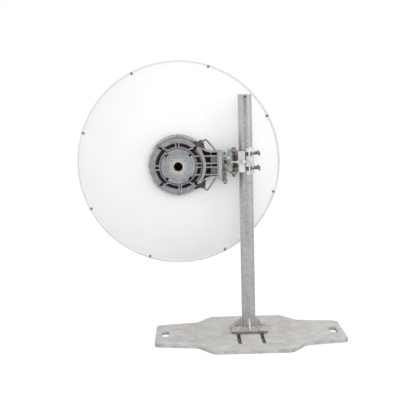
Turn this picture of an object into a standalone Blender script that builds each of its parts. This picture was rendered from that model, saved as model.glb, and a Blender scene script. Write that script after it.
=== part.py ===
"""Microwave link antenna with an offset pole mount, on a short pole and a slotted floor plate.

Frame: metres, +Z up, +Y along the antenna's beam, origin on the pole's axis at the plate's underside.
"""

import math

import bmesh
import bpy
from mathutils import Matrix, Vector

SEAT = 0.0003
HOLE_CLEARANCE = 0.0006
SMOOTH_ANGLE = math.radians(35)

# Floor plate
PLATE_THICKNESS = 0.016
PLATE_CENTRE_Y = -0.034
PLATE_HALF_LENGTH = 0.413
PLATE_END_DEPTH = 0.170
PLATE_SHOULDER_DEPTH = 0.196
PLATE_MIDDLE_DEPTH = 0.306
PLATE_MIDDLE_X = 0.150
PLATE_SHOULDER_X = 0.246
PLATE_CORNER = 0.030
HAND_HOLE_X = 0.371
HAND_HOLE_HALF = (0.0165, 0.051)
PLATE_SLOT_X = 0.051
PLATE_SLOT_HALF_WIDTH = 0.008
PLATE_SLOT_ENDS = (-0.240, 0.170)
BOLT_GROOVE_HALF_WIDTH = 0.0125
BOLT_GROOVE_DEPTH = 0.0085

# Pole and its flange
FLANGE_HALF = 0.0777
FLANGE_CORNER = 0.012
FLANGE_THICKNESS = 0.006
FLANGE_BOLT_Y = 0.058
FLANGE_BOLT_RADIUS = 0.006
POLE_RADIUS = 0.03015
POLE_WALL = 0.0032
POLE_TOP = 1.0590
POLE_CAP_THICKNESS = 0.005
VENT_RADIUS = 0.004
VENT_HEIGHT = 1.048
GUSSET_REACH = 0.068
GUSSET_HEIGHT = 0.048
GUSSET_THICKNESS = 0.006

# Pole clamp
CLAMP_HEIGHTS = (0.739, 0.803)
CLAMP_BOLT_Y = 0.0435
CLAMP_BOLT_RADIUS = 0.005
CLAMP_BOLT_ENDS = (-0.058, 0.0545)
LEFT_JAW_Z = (0.724, 0.815)
RIGHT_JAW_Z = (0.712, 0.829)
JAW_HALF_WIDTH = 0.058
JAW_WALL = 0.006
LEFT_JAW_WEB_X = -0.0365
LEFT_JAW_TIP_X = -0.006
RIGHT_JAW_TIP_X = -0.001
RIGHT_JAW_EAR_X = 0.010
ROD_Y = -0.070
ROD_Z = 0.770
ROD_RADIUS = 0.004
TRUNNION_X = -0.012
TRUNNION_RADIUS = 0.0095
ROD_EYE_Z = (0.7645, 0.7787)

# Fine azimuth and elevation pivots
AZIMUTH_PIVOT = (-0.053, -0.020)
AZIMUTH_BOLT_RADIUS = 0.005
ELEVATION_PIVOT = (-0.020, 0.768)
ELEVATION_BOLT_RADIUS = 0.006
LOCK_BOLT_HEIGHTS = (0.730, 0.806)
LOCK_BOLT_RADIUS = 0.004
ROD_PIN = (-0.0785, ROD_Y)
ELEVATION_ROD = (-0.094, -0.078)
CHANNEL_LUG_RADIUS = 0.0105
YOKE_NOSE_RADIUS = 0.0135
YOKE_FACE_X = -0.1055
YOKE_PLATE_X = -0.0975
YOKE_TIP_X = -0.0350
YOKE_HEAD_Z = 0.815
YOKE_UPPER_FLANGE_Z = (0.8155, 0.8225)
YOKE_SHELF_Z = (0.779, 0.786)
YOKE_STRAP_Z = (0.737, 0.744)
YOKE_LOWER_FLANGE_Z = (0.7165, 0.7235)
YOKE_FOOT_Z = (0.686, 0.692)
YOKE_BACK_Y = 0.011
YOKE_FRONT_Y = -0.055
ARM_PLATE_X = -0.106
ARM_PLATE_WALL = 0.0055
ARM_PLATE_Z = (0.695, 0.818)

# Antenna
AXIS_X = -0.294
AXIS_Z = 0.757
DISH_RADIUS = 0.450
DISH_DEPTH = 0.165
DISH_VERTEX_Y = 0.025
DISH_WALL = 0.002
DISH_HOLE_RADIUS = 0.030
RIM_RADIUS = 0.461
RADOME_BULGE = 0.022
ARM_FRONT_Y = -0.076
ARM_BACK_Y = 0.0265
ARM_END_X = -0.1208
ARM_Z = (0.7085, 0.8187)
ARM_RIB_HEIGHTS = (0.7190, 0.7514, 0.7675, 0.7990)
EAR_Y = (-0.030, 0.0245)
RING_INNER = 0.098
RING_OUTER = 0.116
HUB_FLANGE_RADIUS = 0.1325
HUB_FLANGE_Y = (-0.006, 0.0396)
BOSS_RADIUS = 0.074
BOSS_BORE = 0.024
BOSS_Y = (-0.075, 0.0246)
BORE_RADIUS = 0.0186
PORT_SEAT_Y = BOSS_Y[0] - SEAT
PORT_PLATE_THICKNESS = 0.006
HANDLE_Y = -0.066
HANDLE_RADIUS = 0.0042

TURNED_STEPS = 40
DISH_STEPS = 60
ROUND_SIDES = 12

GALVANISED = ("galvanised_steel", (0.50, 0.51, 0.52), 0.45, 0.9)
CAST_PLATE = ("galvanised_plate", (0.56, 0.54, 0.52), 0.6, 0.6)
ZINC_BLUE = ("blue_zinc_steel", (0.26, 0.32, 0.35), 0.4, 0.8)
ZINC_YELLOW = ("yellow_zinc_steel", (0.15, 0.11, 0.07), 0.45, 0.8)
BRIGHT_STEEL = ("bright_steel", (0.80, 0.80, 0.78), 0.3, 1.0)
BOLT_STEEL = ("bolt_steel", (0.28, 0.25, 0.22), 0.4, 0.9)
CAST_ALUMINIUM = ("cast_aluminium", (0.32, 0.31, 0.32), 0.5, 0.7)
PLATE_ALUMINIUM = ("chromated_aluminium", (0.50, 0.56, 0.52), 0.35, 0.8)
SEAL_RUBBER = ("seal_rubber", (0.60, 0.25, 0.18), 0.6, 0.0)
WHITE_PAINT = ("white_paint", (0.86, 0.86, 0.86), 0.45, 0.0)

TURNS = {
    "X": (math.pi / 2, 0.0, math.pi / 2),
    "Y": (math.pi / 2, 0.0, 0.0),
    "Z": (0.0, 0.0, 0.0),
}


def make_collection(name):
    collection = bpy.data.collections.new(name)
    bpy.context.scene.collection.children.link(collection)
    return collection


def add_object(name, data, cutter=False):
    """Link a new object to the parts, or as a hidden cutter."""
    thing = bpy.data.objects.new(name, data)
    if cutter:
        CUTTERS.objects.link(thing)
        thing.hide_render = True
        thing.display_type = "WIRE"
    else:
        PARTS.objects.link(thing)
    return thing


def spot(facing, centre, along):
    """World point from a plane's own coordinates and the place along its normal."""
    a, b = centre
    return {"X": Vector((along, a, b)), "Y": Vector((a, along, b)), "Z": Vector((a, b, along))}[facing]


def finish(thing, look, body):
    """Give a piece its material and hang it on its body's empty."""
    name, colour, roughness, metallic = look
    material = bpy.data.materials.new(f"{thing.name}_{name}")
    material.use_nodes = True
    shader = material.node_tree.nodes["Principled BSDF"]
    shader.inputs["Base Color"].default_value = (*colour, 1.0)
    shader.inputs["Roughness"].default_value = roughness
    shader.inputs["Metallic"].default_value = metallic
    material.diffuse_color = (*colour, 1.0)
    thing.data.materials.append(material)
    thing.parent = body
    origin = Vector((0.0, 0.0, 0.0))
    while body is not None:
        origin += body.location
        body = body.parent
    thing.matrix_parent_inverse = Matrix.Translation(-origin)
    return thing


def smooth(thing):
    thing.data.shade_smooth()
    thing.data.set_sharp_from_angle(angle=SMOOTH_ANGLE)
    return thing


def block(name, low, high, cutter=False):
    """Box between two corners."""
    low, high = Vector(low), Vector(high)
    mesh = bpy.data.meshes.new(name)
    shape = bmesh.new()
    bmesh.ops.create_cube(shape, size=1.0, matrix=Matrix.Diagonal((*(high - low), 1.0)))
    shape.to_mesh(mesh)
    shape.free()
    thing = add_object(name, mesh, cutter)
    thing.location = (low + high) / 2
    return thing


def prism(name, facing, centre, radius, ends, sides=ROUND_SIDES, cutter=False):
    """Round or many-sided bar along an axis, between two ends."""
    mesh = bpy.data.meshes.new(name)
    shape = bmesh.new()
    bmesh.ops.create_cone(
        shape, cap_ends=True, segments=sides, radius1=radius, radius2=radius,
        depth=ends[1] - ends[0], matrix=Matrix.Rotation(math.pi / sides, 4, "Z"),
    )
    shape.to_mesh(mesh)
    shape.free()
    thing = add_object(name, mesh, cutter)
    thing.location = spot(facing, centre, (ends[0] + ends[1]) / 2)
    thing.rotation_euler = TURNS[facing]
    if sides > 6:
        smooth(thing)
    return thing


def hexagon(name, facing, centre, across, ends):
    """Six-sided nut or bolt head, as a piece to be joined to its shank."""
    return prism(name, facing, centre, across / math.sqrt(3), ends, sides=6, cutter=True)


def flat_curve(name, facing, loops, ends, cutter=False):
    """Flat outline with its holes, extruded between two places along its normal."""
    curve = bpy.data.curves.new(name, "CURVE")
    curve.dimensions = "2D"
    curve.fill_mode = "BOTH"
    curve.extrude = (ends[1] - ends[0]) / 2
    for loop in loops:
        spline = curve.splines.new("POLY")
        spline.points.add(len(loop) - 1)
        for point, (a, b) in zip(spline.points, loop):
            point.co = (a, b, 0.0, 1.0)
        spline.use_cyclic_u = True
    thing = add_object(name, curve, cutter)
    thing.location = spot(facing, (0.0, 0.0), (ends[0] + ends[1]) / 2)
    thing.rotation_euler = TURNS[facing]
    return thing


def meshed(thing, cutter=False):
    """Turn a curve piece into a welded mesh piece of the same name."""
    name = thing.name
    bpy.context.view_layer.update()
    ready = thing.evaluated_get(bpy.context.evaluated_depsgraph_get())
    mesh = bpy.data.meshes.new_from_object(ready)
    shape = bmesh.new()
    shape.from_mesh(mesh)
    bmesh.ops.remove_doubles(shape, verts=shape.verts, dist=0.00001)
    shape.to_mesh(mesh)
    shape.free()
    place = thing.matrix_world.copy()
    bpy.data.objects.remove(thing)
    mesh.name = name
    solid = add_object(name, mesh, cutter)
    solid.matrix_world = place
    return solid


def flat(name, facing, loops, ends, cutter=False):
    return meshed(flat_curve(name, facing, loops, ends, cutter), cutter)


def turned(name, facing_y, profile, steps=TURNED_STEPS, centre=(0.0, 0.0), cutter=False):
    """Closed profile of (radius, height) turned round Z, or round Y when facing_y is set."""
    mesh = bpy.data.meshes.new(name)
    shape = bmesh.new()
    points = [shape.verts.new((radius, 0.0, height)) for radius, height in profile]
    for start, end in zip(points, points[1:] + points[:1]):
        shape.edges.new((start, end))
    shape.to_mesh(mesh)
    shape.free()
    thing = add_object(name, mesh, cutter)
    screw = thing.modifiers.new("turn", "SCREW")
    screw.angle = 2 * math.pi
    screw.steps = steps
    screw.render_steps = steps
    screw.use_merge_vertices = True
    screw.merge_threshold = 0.00001
    screw.use_smooth_shade = False
    if facing_y:
        thing.location = (centre[0], 0.0, centre[1])
        thing.rotation_euler = (-math.pi / 2, 0.0, 0.0)
    else:
        thing.location = (centre[0], centre[1], 0.0)
    return thing


def ring(name, facing_y, radii, ends, steps=TURNED_STEPS, centre=(0.0, 0.0)):
    """Plain tube or washer."""
    inner, outer = radii
    low, high = ends
    return turned(name, facing_y, [(outer, high), (outer, low), (inner, low), (inner, high)], steps, centre)


def boolean(target, tools, operation):
    for tool in tools:
        modifier = target.modifiers.new(tool.name, "BOOLEAN")
        modifier.operation = operation
        modifier.object = tool
        modifier.solver = "EXACT"
    return target


def cut(target, *tools):
    return boolean(target, tools, "DIFFERENCE")


def join(target, *tools):
    return boolean(target, tools, "UNION")


def arc(centre, radius, start, end, steps):
    """Points of a circle's arc between two angles in degrees."""
    angles = [math.radians(start + (end - start) * k / steps) for k in range(steps + 1)]
    return [(centre[0] + radius * math.cos(t), centre[1] + radius * math.sin(t)) for t in angles]


def rounded_box(centre, half, corner, steps=3):
    """Rectangle with rounded corners, counter-clockwise."""
    reach = (half[0] - corner, half[1] - corner)
    points = []
    for quarter, (side_a, side_b) in enumerate(((1, 1), (-1, 1), (-1, -1), (1, -1))):
        middle = (centre[0] + side_a * reach[0], centre[1] + side_b * reach[1])
        points += arc(middle, corner, 90 * quarter, 90 * quarter + 90, steps)
    return points


def circle(centre, radius, sides=16):
    return arc(centre, radius, 0, 360 - 360 / sides, sides - 1)


def strip(start, end, width):
    """Four corners of a straight rib between two points."""
    along = Vector(end) - Vector(start)
    side = Vector((-along.y, along.x)).normalized() * width / 2
    corners = (Vector(start) + side, Vector(start) - side, Vector(end) - side, Vector(end) + side)
    return [(corner.x, corner.y) for corner in corners]


def rounded_route(points, radius, steps=4):
    """Route of straight runs with an arc-like bend of the given reach at each corner."""
    points = [Vector(point) for point in points]
    route = [points[0]]
    for before, corner, after in zip(points, points[1:], points[2:]):
        reach = min(radius, (corner - before).length / 2, (after - corner).length / 2)
        start = corner + (before - corner).normalized() * reach
        end = corner + (after - corner).normalized() * reach
        for k in range(steps + 1):
            t = k / steps
            route.append(start * (1 - t) ** 2 + corner * 2 * t * (1 - t) + end * t ** 2)
    return route + [points[-1]]


def bent_bar(name, points, radius, bend):
    """Round bar along a route, with closed ends."""
    route = rounded_route(points, bend)
    curve = bpy.data.curves.new(name, "CURVE")
    curve.dimensions = "3D"
    curve.bevel_depth = radius
    curve.bevel_resolution = 2
    curve.use_fill_caps = True
    spline = curve.splines.new("POLY")
    spline.points.add(len(route) - 1)
    for point, place in zip(spline.points, route):
        point.co = (*place, 1.0)
    return add_object(name, curve)


def bolt(name, facing, centre, radius, ends, *heads):
    """Bolt with its heads and nuts, each given as (across flats, low end, high end)."""
    shank = prism(name, facing, centre, radius, ends)
    for number, (across, low, high) in enumerate(heads, start=1):
        join(shank, hexagon(f"{name}_hexagon_{number}", facing, centre, across, (low, high)))
    return shank


def plate_edge():
    """Outline of the floor plate: a wide middle that narrows to the two ends."""
    half = arc((PLATE_HALF_LENGTH - PLATE_CORNER, PLATE_END_DEPTH - PLATE_CORNER), PLATE_CORNER, 0, 90, 5)
    narrowing = 8
    for k in range(narrowing + 1):
        t = 1 - k / narrowing
        depth = PLATE_MIDDLE_DEPTH + (PLATE_SHOULDER_DEPTH - PLATE_MIDDLE_DEPTH) * t * t * (3 - 2 * t)
        half.append((PLATE_MIDDLE_X + (PLATE_SHOULDER_X - PLATE_MIDDLE_X) * t, depth))
    back = half + [(-x, y) for x, y in reversed(half)]
    front = [(-x, -y) for x, y in back]
    return [(x, y + PLATE_CENTRE_Y) for x, y in back + front]


def build_stand():
    """Floor plate, flange, gussets, pole and flange bolts."""
    slot_middle = sum(PLATE_SLOT_ENDS) / 2
    slot_half = (PLATE_SLOT_ENDS[1] - PLATE_SLOT_ENDS[0]) / 2
    sides = (-1, 1)
    loops = [plate_edge()]
    for side in sides:
        hand_hole = (side * HAND_HOLE_X, PLATE_CENTRE_Y)
        loops.append(rounded_box(hand_hole, HAND_HOLE_HALF, HAND_HOLE_HALF[0] - 0.001, 4))
        slot = (side * PLATE_SLOT_X, slot_middle)
        half = (PLATE_SLOT_HALF_WIDTH, slot_half)
        loops.append(rounded_box(slot, half, PLATE_SLOT_HALF_WIDTH - 0.0005))
    plate = flat("base_plate", "Z", loops, (0.0, PLATE_THICKNESS))
    for side, label in zip(sides, ("left", "right")):
        groove = rounded_box(
            (side * PLATE_SLOT_X, slot_middle), (BOLT_GROOVE_HALF_WIDTH, slot_half + 0.004), 0.006)
        ends = (-0.005, BOLT_GROOVE_DEPTH)
        cut(plate, flat(f"bolt_groove_{label}", "Z", [groove], ends, cutter=True))
    finish(plate, CAST_PLATE, None)

    bolt_places = [(x * PLATE_SLOT_X, y * FLANGE_BOLT_Y) for y in sides for x in sides]
    holes = [circle(place, FLANGE_BOLT_RADIUS + 0.0008) for place in bolt_places]
    square = rounded_box((0.0, 0.0), (FLANGE_HALF, FLANGE_HALF), FLANGE_CORNER)
    level = PLATE_THICKNESS
    for name in ("flange_packing_plate", "pole_flange"):
        ends = (level + SEAT, level + SEAT + FLANGE_THICKNESS)
        finish(flat_curve(name, "Z", [square, *holes], ends), GALVANISED, None)
        level = ends[1]

    head_top = BOLT_GROOVE_DEPTH - SEAT
    nut_seat = level + SEAT
    head_across, head_height, nut_across, nut_top = 0.020, 0.007, 0.019, 0.011
    washer_radius, washer_thickness, stud_end = 0.0125, 0.0025, 0.016
    for number, place in enumerate(bolt_places, start=1):
        stud = bolt(
            f"flange_bolt_{number}", "Z", place, FLANGE_BOLT_RADIUS,
            (head_top - 0.001, nut_seat + stud_end),
            (head_across, head_top - head_height, head_top),
            (nut_across, nut_seat + washer_thickness - 0.0001, nut_seat + nut_top))
        washer = prism(
            f"flange_washer_{number}", "Z", place, washer_radius, (nut_seat, nut_seat + washer_thickness),
            cutter=True)
        finish(join(stud, washer), GALVANISED, None)

    foot = level + SEAT
    inner = POLE_RADIUS + SEAT
    gusset = [(inner, foot), (GUSSET_REACH, foot), (GUSSET_REACH, foot + 0.006),
              (inner + 0.006, foot + GUSSET_HEIGHT), (inner, foot + GUSSET_HEIGHT)]
    thickness = (-GUSSET_THICKNESS / 2, GUSSET_THICKNESS / 2)
    for label, facing, side in (("left", "Y", -1), ("right", "Y", 1), ("front", "X", -1), ("back", "X", 1)):
        loop = [(side * reach, height) for reach, height in gusset]
        finish(flat_curve(f"pole_gusset_{label}", facing, [loop], thickness), GALVANISED, None)

    cap_seat = POLE_TOP - POLE_CAP_THICKNESS
    pole = ring("pole_tube", False, (POLE_RADIUS - POLE_WALL, POLE_RADIUS), (foot, cap_seat - SEAT), 32)
    vent = prism(
        "vent_hole", "Y", (0.0, VENT_HEIGHT), VENT_RADIUS,
        (-POLE_RADIUS - 0.01, -POLE_RADIUS + 2 * POLE_WALL), cutter=True)
    finish(cut(pole, vent), GALVANISED, None)
    finish(prism("pole_cap", "Z", (0.0, 0.0), POLE_RADIUS, (cap_seat, POLE_TOP), 32), GALVANISED, None)


def build_clamp(body):
    """Two jaws round the pole, their long bolts, and what carries the fine azimuth adjustment."""
    wall, half = JAW_WALL, JAW_HALF_WIDTH
    web, tip = LEFT_JAW_WEB_X, LEFT_JAW_TIP_X
    left = [(web, -half), (tip, -half), (tip, -half + wall), (web + wall, -half + wall),
            (web + wall, half - wall), (tip, half - wall), (tip, half), (web, half)]
    left_jaw = flat("clamp_left_jaw", "Z", [left], LEFT_JAW_Z)

    ear = RIGHT_JAW_EAR_X
    inside = POLE_RADIUS + 0.0005
    outside = inside + wall
    hug = math.degrees(math.acos((ear + wall) / outside))
    inner_hug = math.degrees(math.acos(ear / inside))
    right = [(RIGHT_JAW_TIP_X, -half), (ear + wall, -half)]
    right += arc((0.0, 0.0), outside, -hug, hug, 10)
    right += [
        (ear + wall, half), (RIGHT_JAW_TIP_X, half), (RIGHT_JAW_TIP_X, half - wall), (ear, half - wall)]
    right += arc((0.0, 0.0), inside, inner_hug, -inner_hug, 10)
    right += [(ear, -half + wall), (RIGHT_JAW_TIP_X, -half + wall)]
    right_jaw = flat("clamp_right_jaw", "Z", [right], RIGHT_JAW_Z)

    nut_left = web - SEAT
    nut_right = ear + wall + SEAT
    nut_across, nut, head_across = 0.017, 0.008, 0.021
    head_ends = (CLAMP_BOLT_ENDS[1] - 0.001, CLAMP_BOLT_ENDS[1] + 0.005)
    places = [(y, z) for z in CLAMP_HEIGHTS for y in (-CLAMP_BOLT_Y, CLAMP_BOLT_Y)]
    labels = ("lower_front", "lower_rear", "upper_front", "upper_rear")
    through_jaws = (web - 0.01, ear + 0.02)
    for label, place in zip(labels, places):
        hole = prism(
            f"clamp_hole_{label}", "X", place, CLAMP_BOLT_RADIUS + HOLE_CLEARANCE, through_jaws,
            cutter=True)
        cut(left_jaw, hole)
        cut(right_jaw, hole)
        finish(bolt(
            f"clamp_bolt_{label}", "X", place, CLAMP_BOLT_RADIUS, CLAMP_BOLT_ENDS,
            (nut_across, nut_left - nut, nut_left), (nut_across, nut_right, nut_right + nut),
            (head_across, *head_ends)), BOLT_STEEL, body)
    finish(left_jaw, BRIGHT_STEEL, body)
    finish(right_jaw, GALVANISED, body)
    build_azimuth_channel(body)
    build_trunnion(body)


def build_azimuth_channel(body):
    """Channel between the jaw's web and the azimuth pivot, open to the front."""
    low, high = LEFT_JAW_Z[0] - 0.0002, LEFT_JAW_Z[1] + 0.0002
    edge = LEFT_JAW_WEB_X - SEAT
    back, back_wall, rear_left = 0.020, 0.004, -0.056
    lug = arc(AZIMUTH_PIVOT, CHANNEL_LUG_RADIUS, 270, 150, 8)
    plan = [(edge, AZIMUTH_PIVOT[1] - CHANNEL_LUG_RADIUS), *lug, (rear_left, back), (edge, back)]
    channel = flat("azimuth_channel", "Z", [plan], (low, high))
    inside = block(
        "azimuth_channel_inside", (-0.08, -0.05, low + JAW_WALL),
        (edge + 0.01, back - back_wall, high - JAW_WALL), cutter=True)
    bore = prism(
        "azimuth_bore", "Z", AZIMUTH_PIVOT, AZIMUTH_BOLT_RADIUS + HOLE_CLEARANCE,
        (low - 0.01, high + 0.01), cutter=True)
    finish(cut(channel, inside, bore), ZINC_YELLOW, body)


def build_trunnion(body):
    """Round nut on a short neck that guides the azimuth adjuster rod."""
    mesh = bpy.data.meshes.new("azimuth_trunnion")
    shape = bmesh.new()
    bmesh.ops.create_uvsphere(shape, u_segments=12, v_segments=8, radius=TRUNNION_RADIUS)
    shape.to_mesh(mesh)
    shape.free()
    ball = smooth(add_object("azimuth_trunnion", mesh))
    ball.location = (TRUNNION_X, ROD_Y, ROD_Z)
    neck_radius, neck_end = 0.0062, -JAW_HALF_WIDTH - SEAT
    neck = prism(
        "trunnion_neck", "Y", (TRUNNION_X, ROD_Z), neck_radius, (ROD_Y + 0.0055, neck_end), cutter=True)
    hole = prism(
        "trunnion_hole", "X", (ROD_Y, ROD_Z), ROD_RADIUS + 0.0012,
        (TRUNNION_X - 0.02, TRUNNION_X + 0.02), cutter=True)
    finish(cut(join(ball, neck), hole), BRIGHT_STEEL, body)


def yoke_outline():
    """Folded strip of the yoke, seen from the front."""
    face, plate, tip = YOKE_FACE_X, YOKE_PLATE_X, YOKE_TIP_X
    riser_left, riser_right, foot_tip = -0.0765, -0.0695, -0.0840
    strap_start, strap_end, fold = -0.0835, -0.0675, 0.0033
    upper_low, upper_top = YOKE_UPPER_FLANGE_Z
    lower_low, lower_top = YOKE_LOWER_FLANGE_Z
    shelf_low, shelf_top = YOKE_SHELF_Z
    strap_low, strap_top = YOKE_STRAP_Z
    foot_low, foot_top = YOKE_FOOT_Z
    upper = [(face, YOKE_HEAD_Z), (plate, YOKE_HEAD_Z), (plate, shelf_top), (riser_left, shelf_top),
             (riser_left, upper_top), (tip, upper_top), (tip, upper_low), (riser_right, upper_low),
             (riser_right, shelf_low), (plate, shelf_low)]
    strap = [(plate, strap_top), (strap_start, strap_top), (strap_end, lower_top), (tip, lower_top),
             (tip, lower_low), (strap_end - fold, lower_low), (strap_start - fold, strap_low),
             (plate, strap_low)]
    foot = [(plate, foot_top), (foot_tip, foot_top), (foot_tip, foot_low), (face, foot_low)]
    return upper + strap + foot


def build_yoke(body):
    """Yoke that swings round the azimuth bolt and carries the elevation pivot."""
    foot_front, tongue_front, back = -0.090, -0.080, 0.020
    clear, left, right, low, high = 0.0001, -0.115, -0.030, 0.670, 0.840
    yoke = flat("azimuth_yoke", "Y", [yoke_outline()], (foot_front, back))
    above_foot = YOKE_FOOT_Z[1] + clear
    around_tongue = [(left, above_foot), (right, above_foot), (right, high), (left, high)]
    tongue = [(-0.0901, YOKE_SHELF_Z[0] - 0.001), (-0.0680, YOKE_SHELF_Z[0] - 0.001),
              (-0.0680, YOKE_SHELF_Z[1] + clear), (-0.0901, YOKE_SHELF_Z[1] + clear)]
    front_trim = flat("yoke_front_trim", "Y", [around_tongue, tongue], (foot_front - 0.02, YOKE_FRONT_Y),
                      cutter=True)
    tongue_trim = block("yoke_tongue_trim", (-0.095, foot_front - 0.02, YOKE_SHELF_Z[0] - 0.009),
                        (-0.060, tongue_front, YOKE_SHELF_Z[1] + 0.009), cutter=True)
    x, y = AZIMUTH_PIVOT
    nose = YOKE_NOSE_RADIUS
    neck, shoulder = -0.0625, -0.0665
    behind, beyond = back + 0.010, -0.020
    edge = YOKE_PLATE_X + 0.0005
    plan = [(edge, behind), (edge, YOKE_BACK_Y), (shoulder, YOKE_BACK_Y), (neck, y + nose)]
    plan += arc((x, y), nose, 90, -90, 10)
    plan += [(neck, y - nose), (shoulder, YOKE_FRONT_Y), (shoulder, YOKE_FRONT_Y - 0.005),
             (beyond, YOKE_FRONT_Y - 0.005), (beyond, behind)]
    nose_trim = flat("yoke_nose_trim", "Z", [plan], (low + 0.030, high), cutter=True)
    through_plate = (left, YOKE_PLATE_X + 0.008)
    bores = [
        prism("yoke_azimuth_bore", "Z", AZIMUTH_PIVOT, AZIMUTH_BOLT_RADIUS + HOLE_CLEARANCE,
              (low + 0.030, high), cutter=True),
        prism("yoke_elevation_bore", "X", ELEVATION_PIVOT, ELEVATION_BOLT_RADIUS + HOLE_CLEARANCE,
              through_plate, cutter=True),
        prism("yoke_pin_bore", "Z", ROD_PIN, ROD_RADIUS + HOLE_CLEARANCE,
              (YOKE_SHELF_Z[0] - 0.009, YOKE_SHELF_Z[1] + 0.009), cutter=True),
        prism("yoke_foot_bore", "Z", ELEVATION_ROD, ROD_RADIUS + HOLE_CLEARANCE,
              (YOKE_FOOT_Z[0] - 0.006, YOKE_FOOT_Z[1] + 0.008), cutter=True),
    ]
    for number, height in enumerate(LOCK_BOLT_HEIGHTS, start=1):
        bores.append(prism(
            f"yoke_lock_bore_{number}", "X", (ELEVATION_PIVOT[0], height),
            LOCK_BOLT_RADIUS + HOLE_CLEARANCE, through_plate, cutter=True))
    finish(cut(yoke, front_trim, tongue_trim, nose_trim, *bores), ZINC_BLUE, body)
    build_pivot_bolts(body)
    build_rod_pin(body)
    build_elevation_rod(body)


def build_pivot_bolts(body):
    """Azimuth pivot, elevation pivot and the two lock bolts."""
    top = YOKE_UPPER_FLANGE_Z[1] + SEAT
    foot = YOKE_LOWER_FLANGE_Z[0] - SEAT
    across, nut = 0.0155, 0.0102
    finish(bolt(
        "azimuth_pivot_bolt", "Z", AZIMUTH_PIVOT, AZIMUTH_BOLT_RADIUS, (foot - nut - 0.0025, top + 0.001),
        (across, top, top + 0.0087), (across, foot - nut, foot)), BOLT_STEEL, body)
    head_seat = ARM_PLATE_X - ARM_PLATE_WALL - SEAT
    nut_seat = YOKE_PLATE_X + SEAT
    across = 0.0190
    finish(bolt(
        "elevation_pivot_bolt", "X", ELEVATION_PIVOT, ELEVATION_BOLT_RADIUS,
        (head_seat - 0.0017, nut_seat + 0.0142),
        (across, head_seat - 0.0077, head_seat), (across, nut_seat, nut_seat + 0.0097)), BOLT_STEEL, body)
    across = 0.0130
    for label, height in zip(("lower", "upper"), LOCK_BOLT_HEIGHTS):
        finish(bolt(
            f"elevation_lock_bolt_{label}", "X", (ELEVATION_PIVOT[0], height), LOCK_BOLT_RADIUS,
            (head_seat - 0.0017, nut_seat + 0.0087), (across, head_seat - 0.0057, head_seat),
            (across, nut_seat, nut_seat + 0.0067)), BOLT_STEEL, body)


def build_rod_pin(body):
    """Pin that the azimuth rod's eye turns on."""
    top = YOKE_SHELF_Z[1] + SEAT
    nut_foot, nut_top = 0.7570, ROD_EYE_Z[0] - 0.0005
    across = 0.0150
    finish(bolt(
        "azimuth_rod_pin", "Z", ROD_PIN, ROD_RADIUS, (nut_foot - 0.004, top + 0.001),
        (across, top, top + 0.0082), (across, nut_foot, nut_top)), BRIGHT_STEEL, body)


def build_elevation_rod(body):
    """Upright threaded rod on the yoke's foot, with its four nuts."""
    top = YOKE_FOOT_Z[1] + SEAT
    foot = YOKE_FOOT_Z[0] - SEAT
    across, nut = 0.0130, 0.0064
    lug_nut_foot, upper_nut_foot, end = 0.7105, 0.7450, 0.7560
    finish(bolt(
        "elevation_adjuster_rod", "Z", ELEVATION_ROD, ROD_RADIUS, (foot - nut - 0.0018, end),
        (across, foot - nut, foot), (across, top, top + nut),
        (across, lug_nut_foot, lug_nut_foot + nut), (across, upper_nut_foot, upper_nut_foot + nut)),
        BOLT_STEEL, body)


def build_azimuth_rod(body):
    """Threaded rod with an eye on the yoke's pin, passing through the trunnion."""
    rod = prism("azimuth_adjuster_rod", "X", (ROD_Y, ROD_Z), ROD_RADIUS, (ROD_PIN[0], 0.019))
    eye_radius, nut_across, nut_ends = 0.0080, 0.0150, (-0.0410, -0.0340)
    eye = prism("rod_eye", "Z", ROD_PIN, eye_radius, ROD_EYE_Z, cutter=True)
    nut = hexagon("rod_nut", "X", (ROD_Y, ROD_Z), nut_across, nut_ends)
    bore_ends = (ROD_EYE_Z[0] - 0.01, ROD_EYE_Z[1] + 0.01)
    bore = prism("rod_eye_bore", "Z", ROD_PIN, ROD_RADIUS + 0.0005, bore_ends, cutter=True)
    finish(cut(join(rod, eye, nut), bore), BRIGHT_STEEL, body)


def hub_point(radius, angle):
    """Place on the hub's face at a radius and an angle in degrees from +X."""
    t = math.radians(angle)
    return (AXIS_X + radius * math.cos(t), AXIS_Z + radius * math.sin(t))


def ring_edge_x(height, radius):
    """Right-hand place of a circle round the antenna's axis at a height."""
    return AXIS_X + math.sqrt(radius ** 2 - (height - AXIS_Z) ** 2)


def hub_profile():
    """Section of the round part of the hub casting, from the flange's rear edge and round."""
    sleeve = (BOSS_RADIUS + SEAT, 0.0835)
    front, floor = -0.0450, 0.0040
    chamfer = 0.002
    return [
        (HUB_FLANGE_RADIUS, HUB_FLANGE_Y[1]), (HUB_FLANGE_RADIUS, HUB_FLANGE_Y[0]),
        (RING_OUTER, HUB_FLANGE_Y[0] - 0.0015), (RING_OUTER, front + chamfer),
        (RING_OUTER - chamfer, front), (RING_INNER + chamfer, front), (RING_INNER, front + chamfer),
        (RING_INNER, floor), (sleeve[1], floor),
        (sleeve[1], -0.0600), (0.0790, -0.0600), (0.0790, -0.0500), (sleeve[0], -0.0500),
        (sleeve[0], BOSS_Y[1]), (0.1000, BOSS_Y[1]), (RING_OUTER, 0.0355),
    ]


def boss_profile():
    """Section of the turned boss in the middle of the hub."""
    front, back = BOSS_Y
    return [
        (BOSS_RADIUS, back), (BOSS_RADIUS, front + 0.0035), (0.0700, front + 0.0015),
        (0.0620, front + 0.0015),
        (0.0600, front), (BOSS_BORE, front), (BOSS_BORE, back),
    ]


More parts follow.
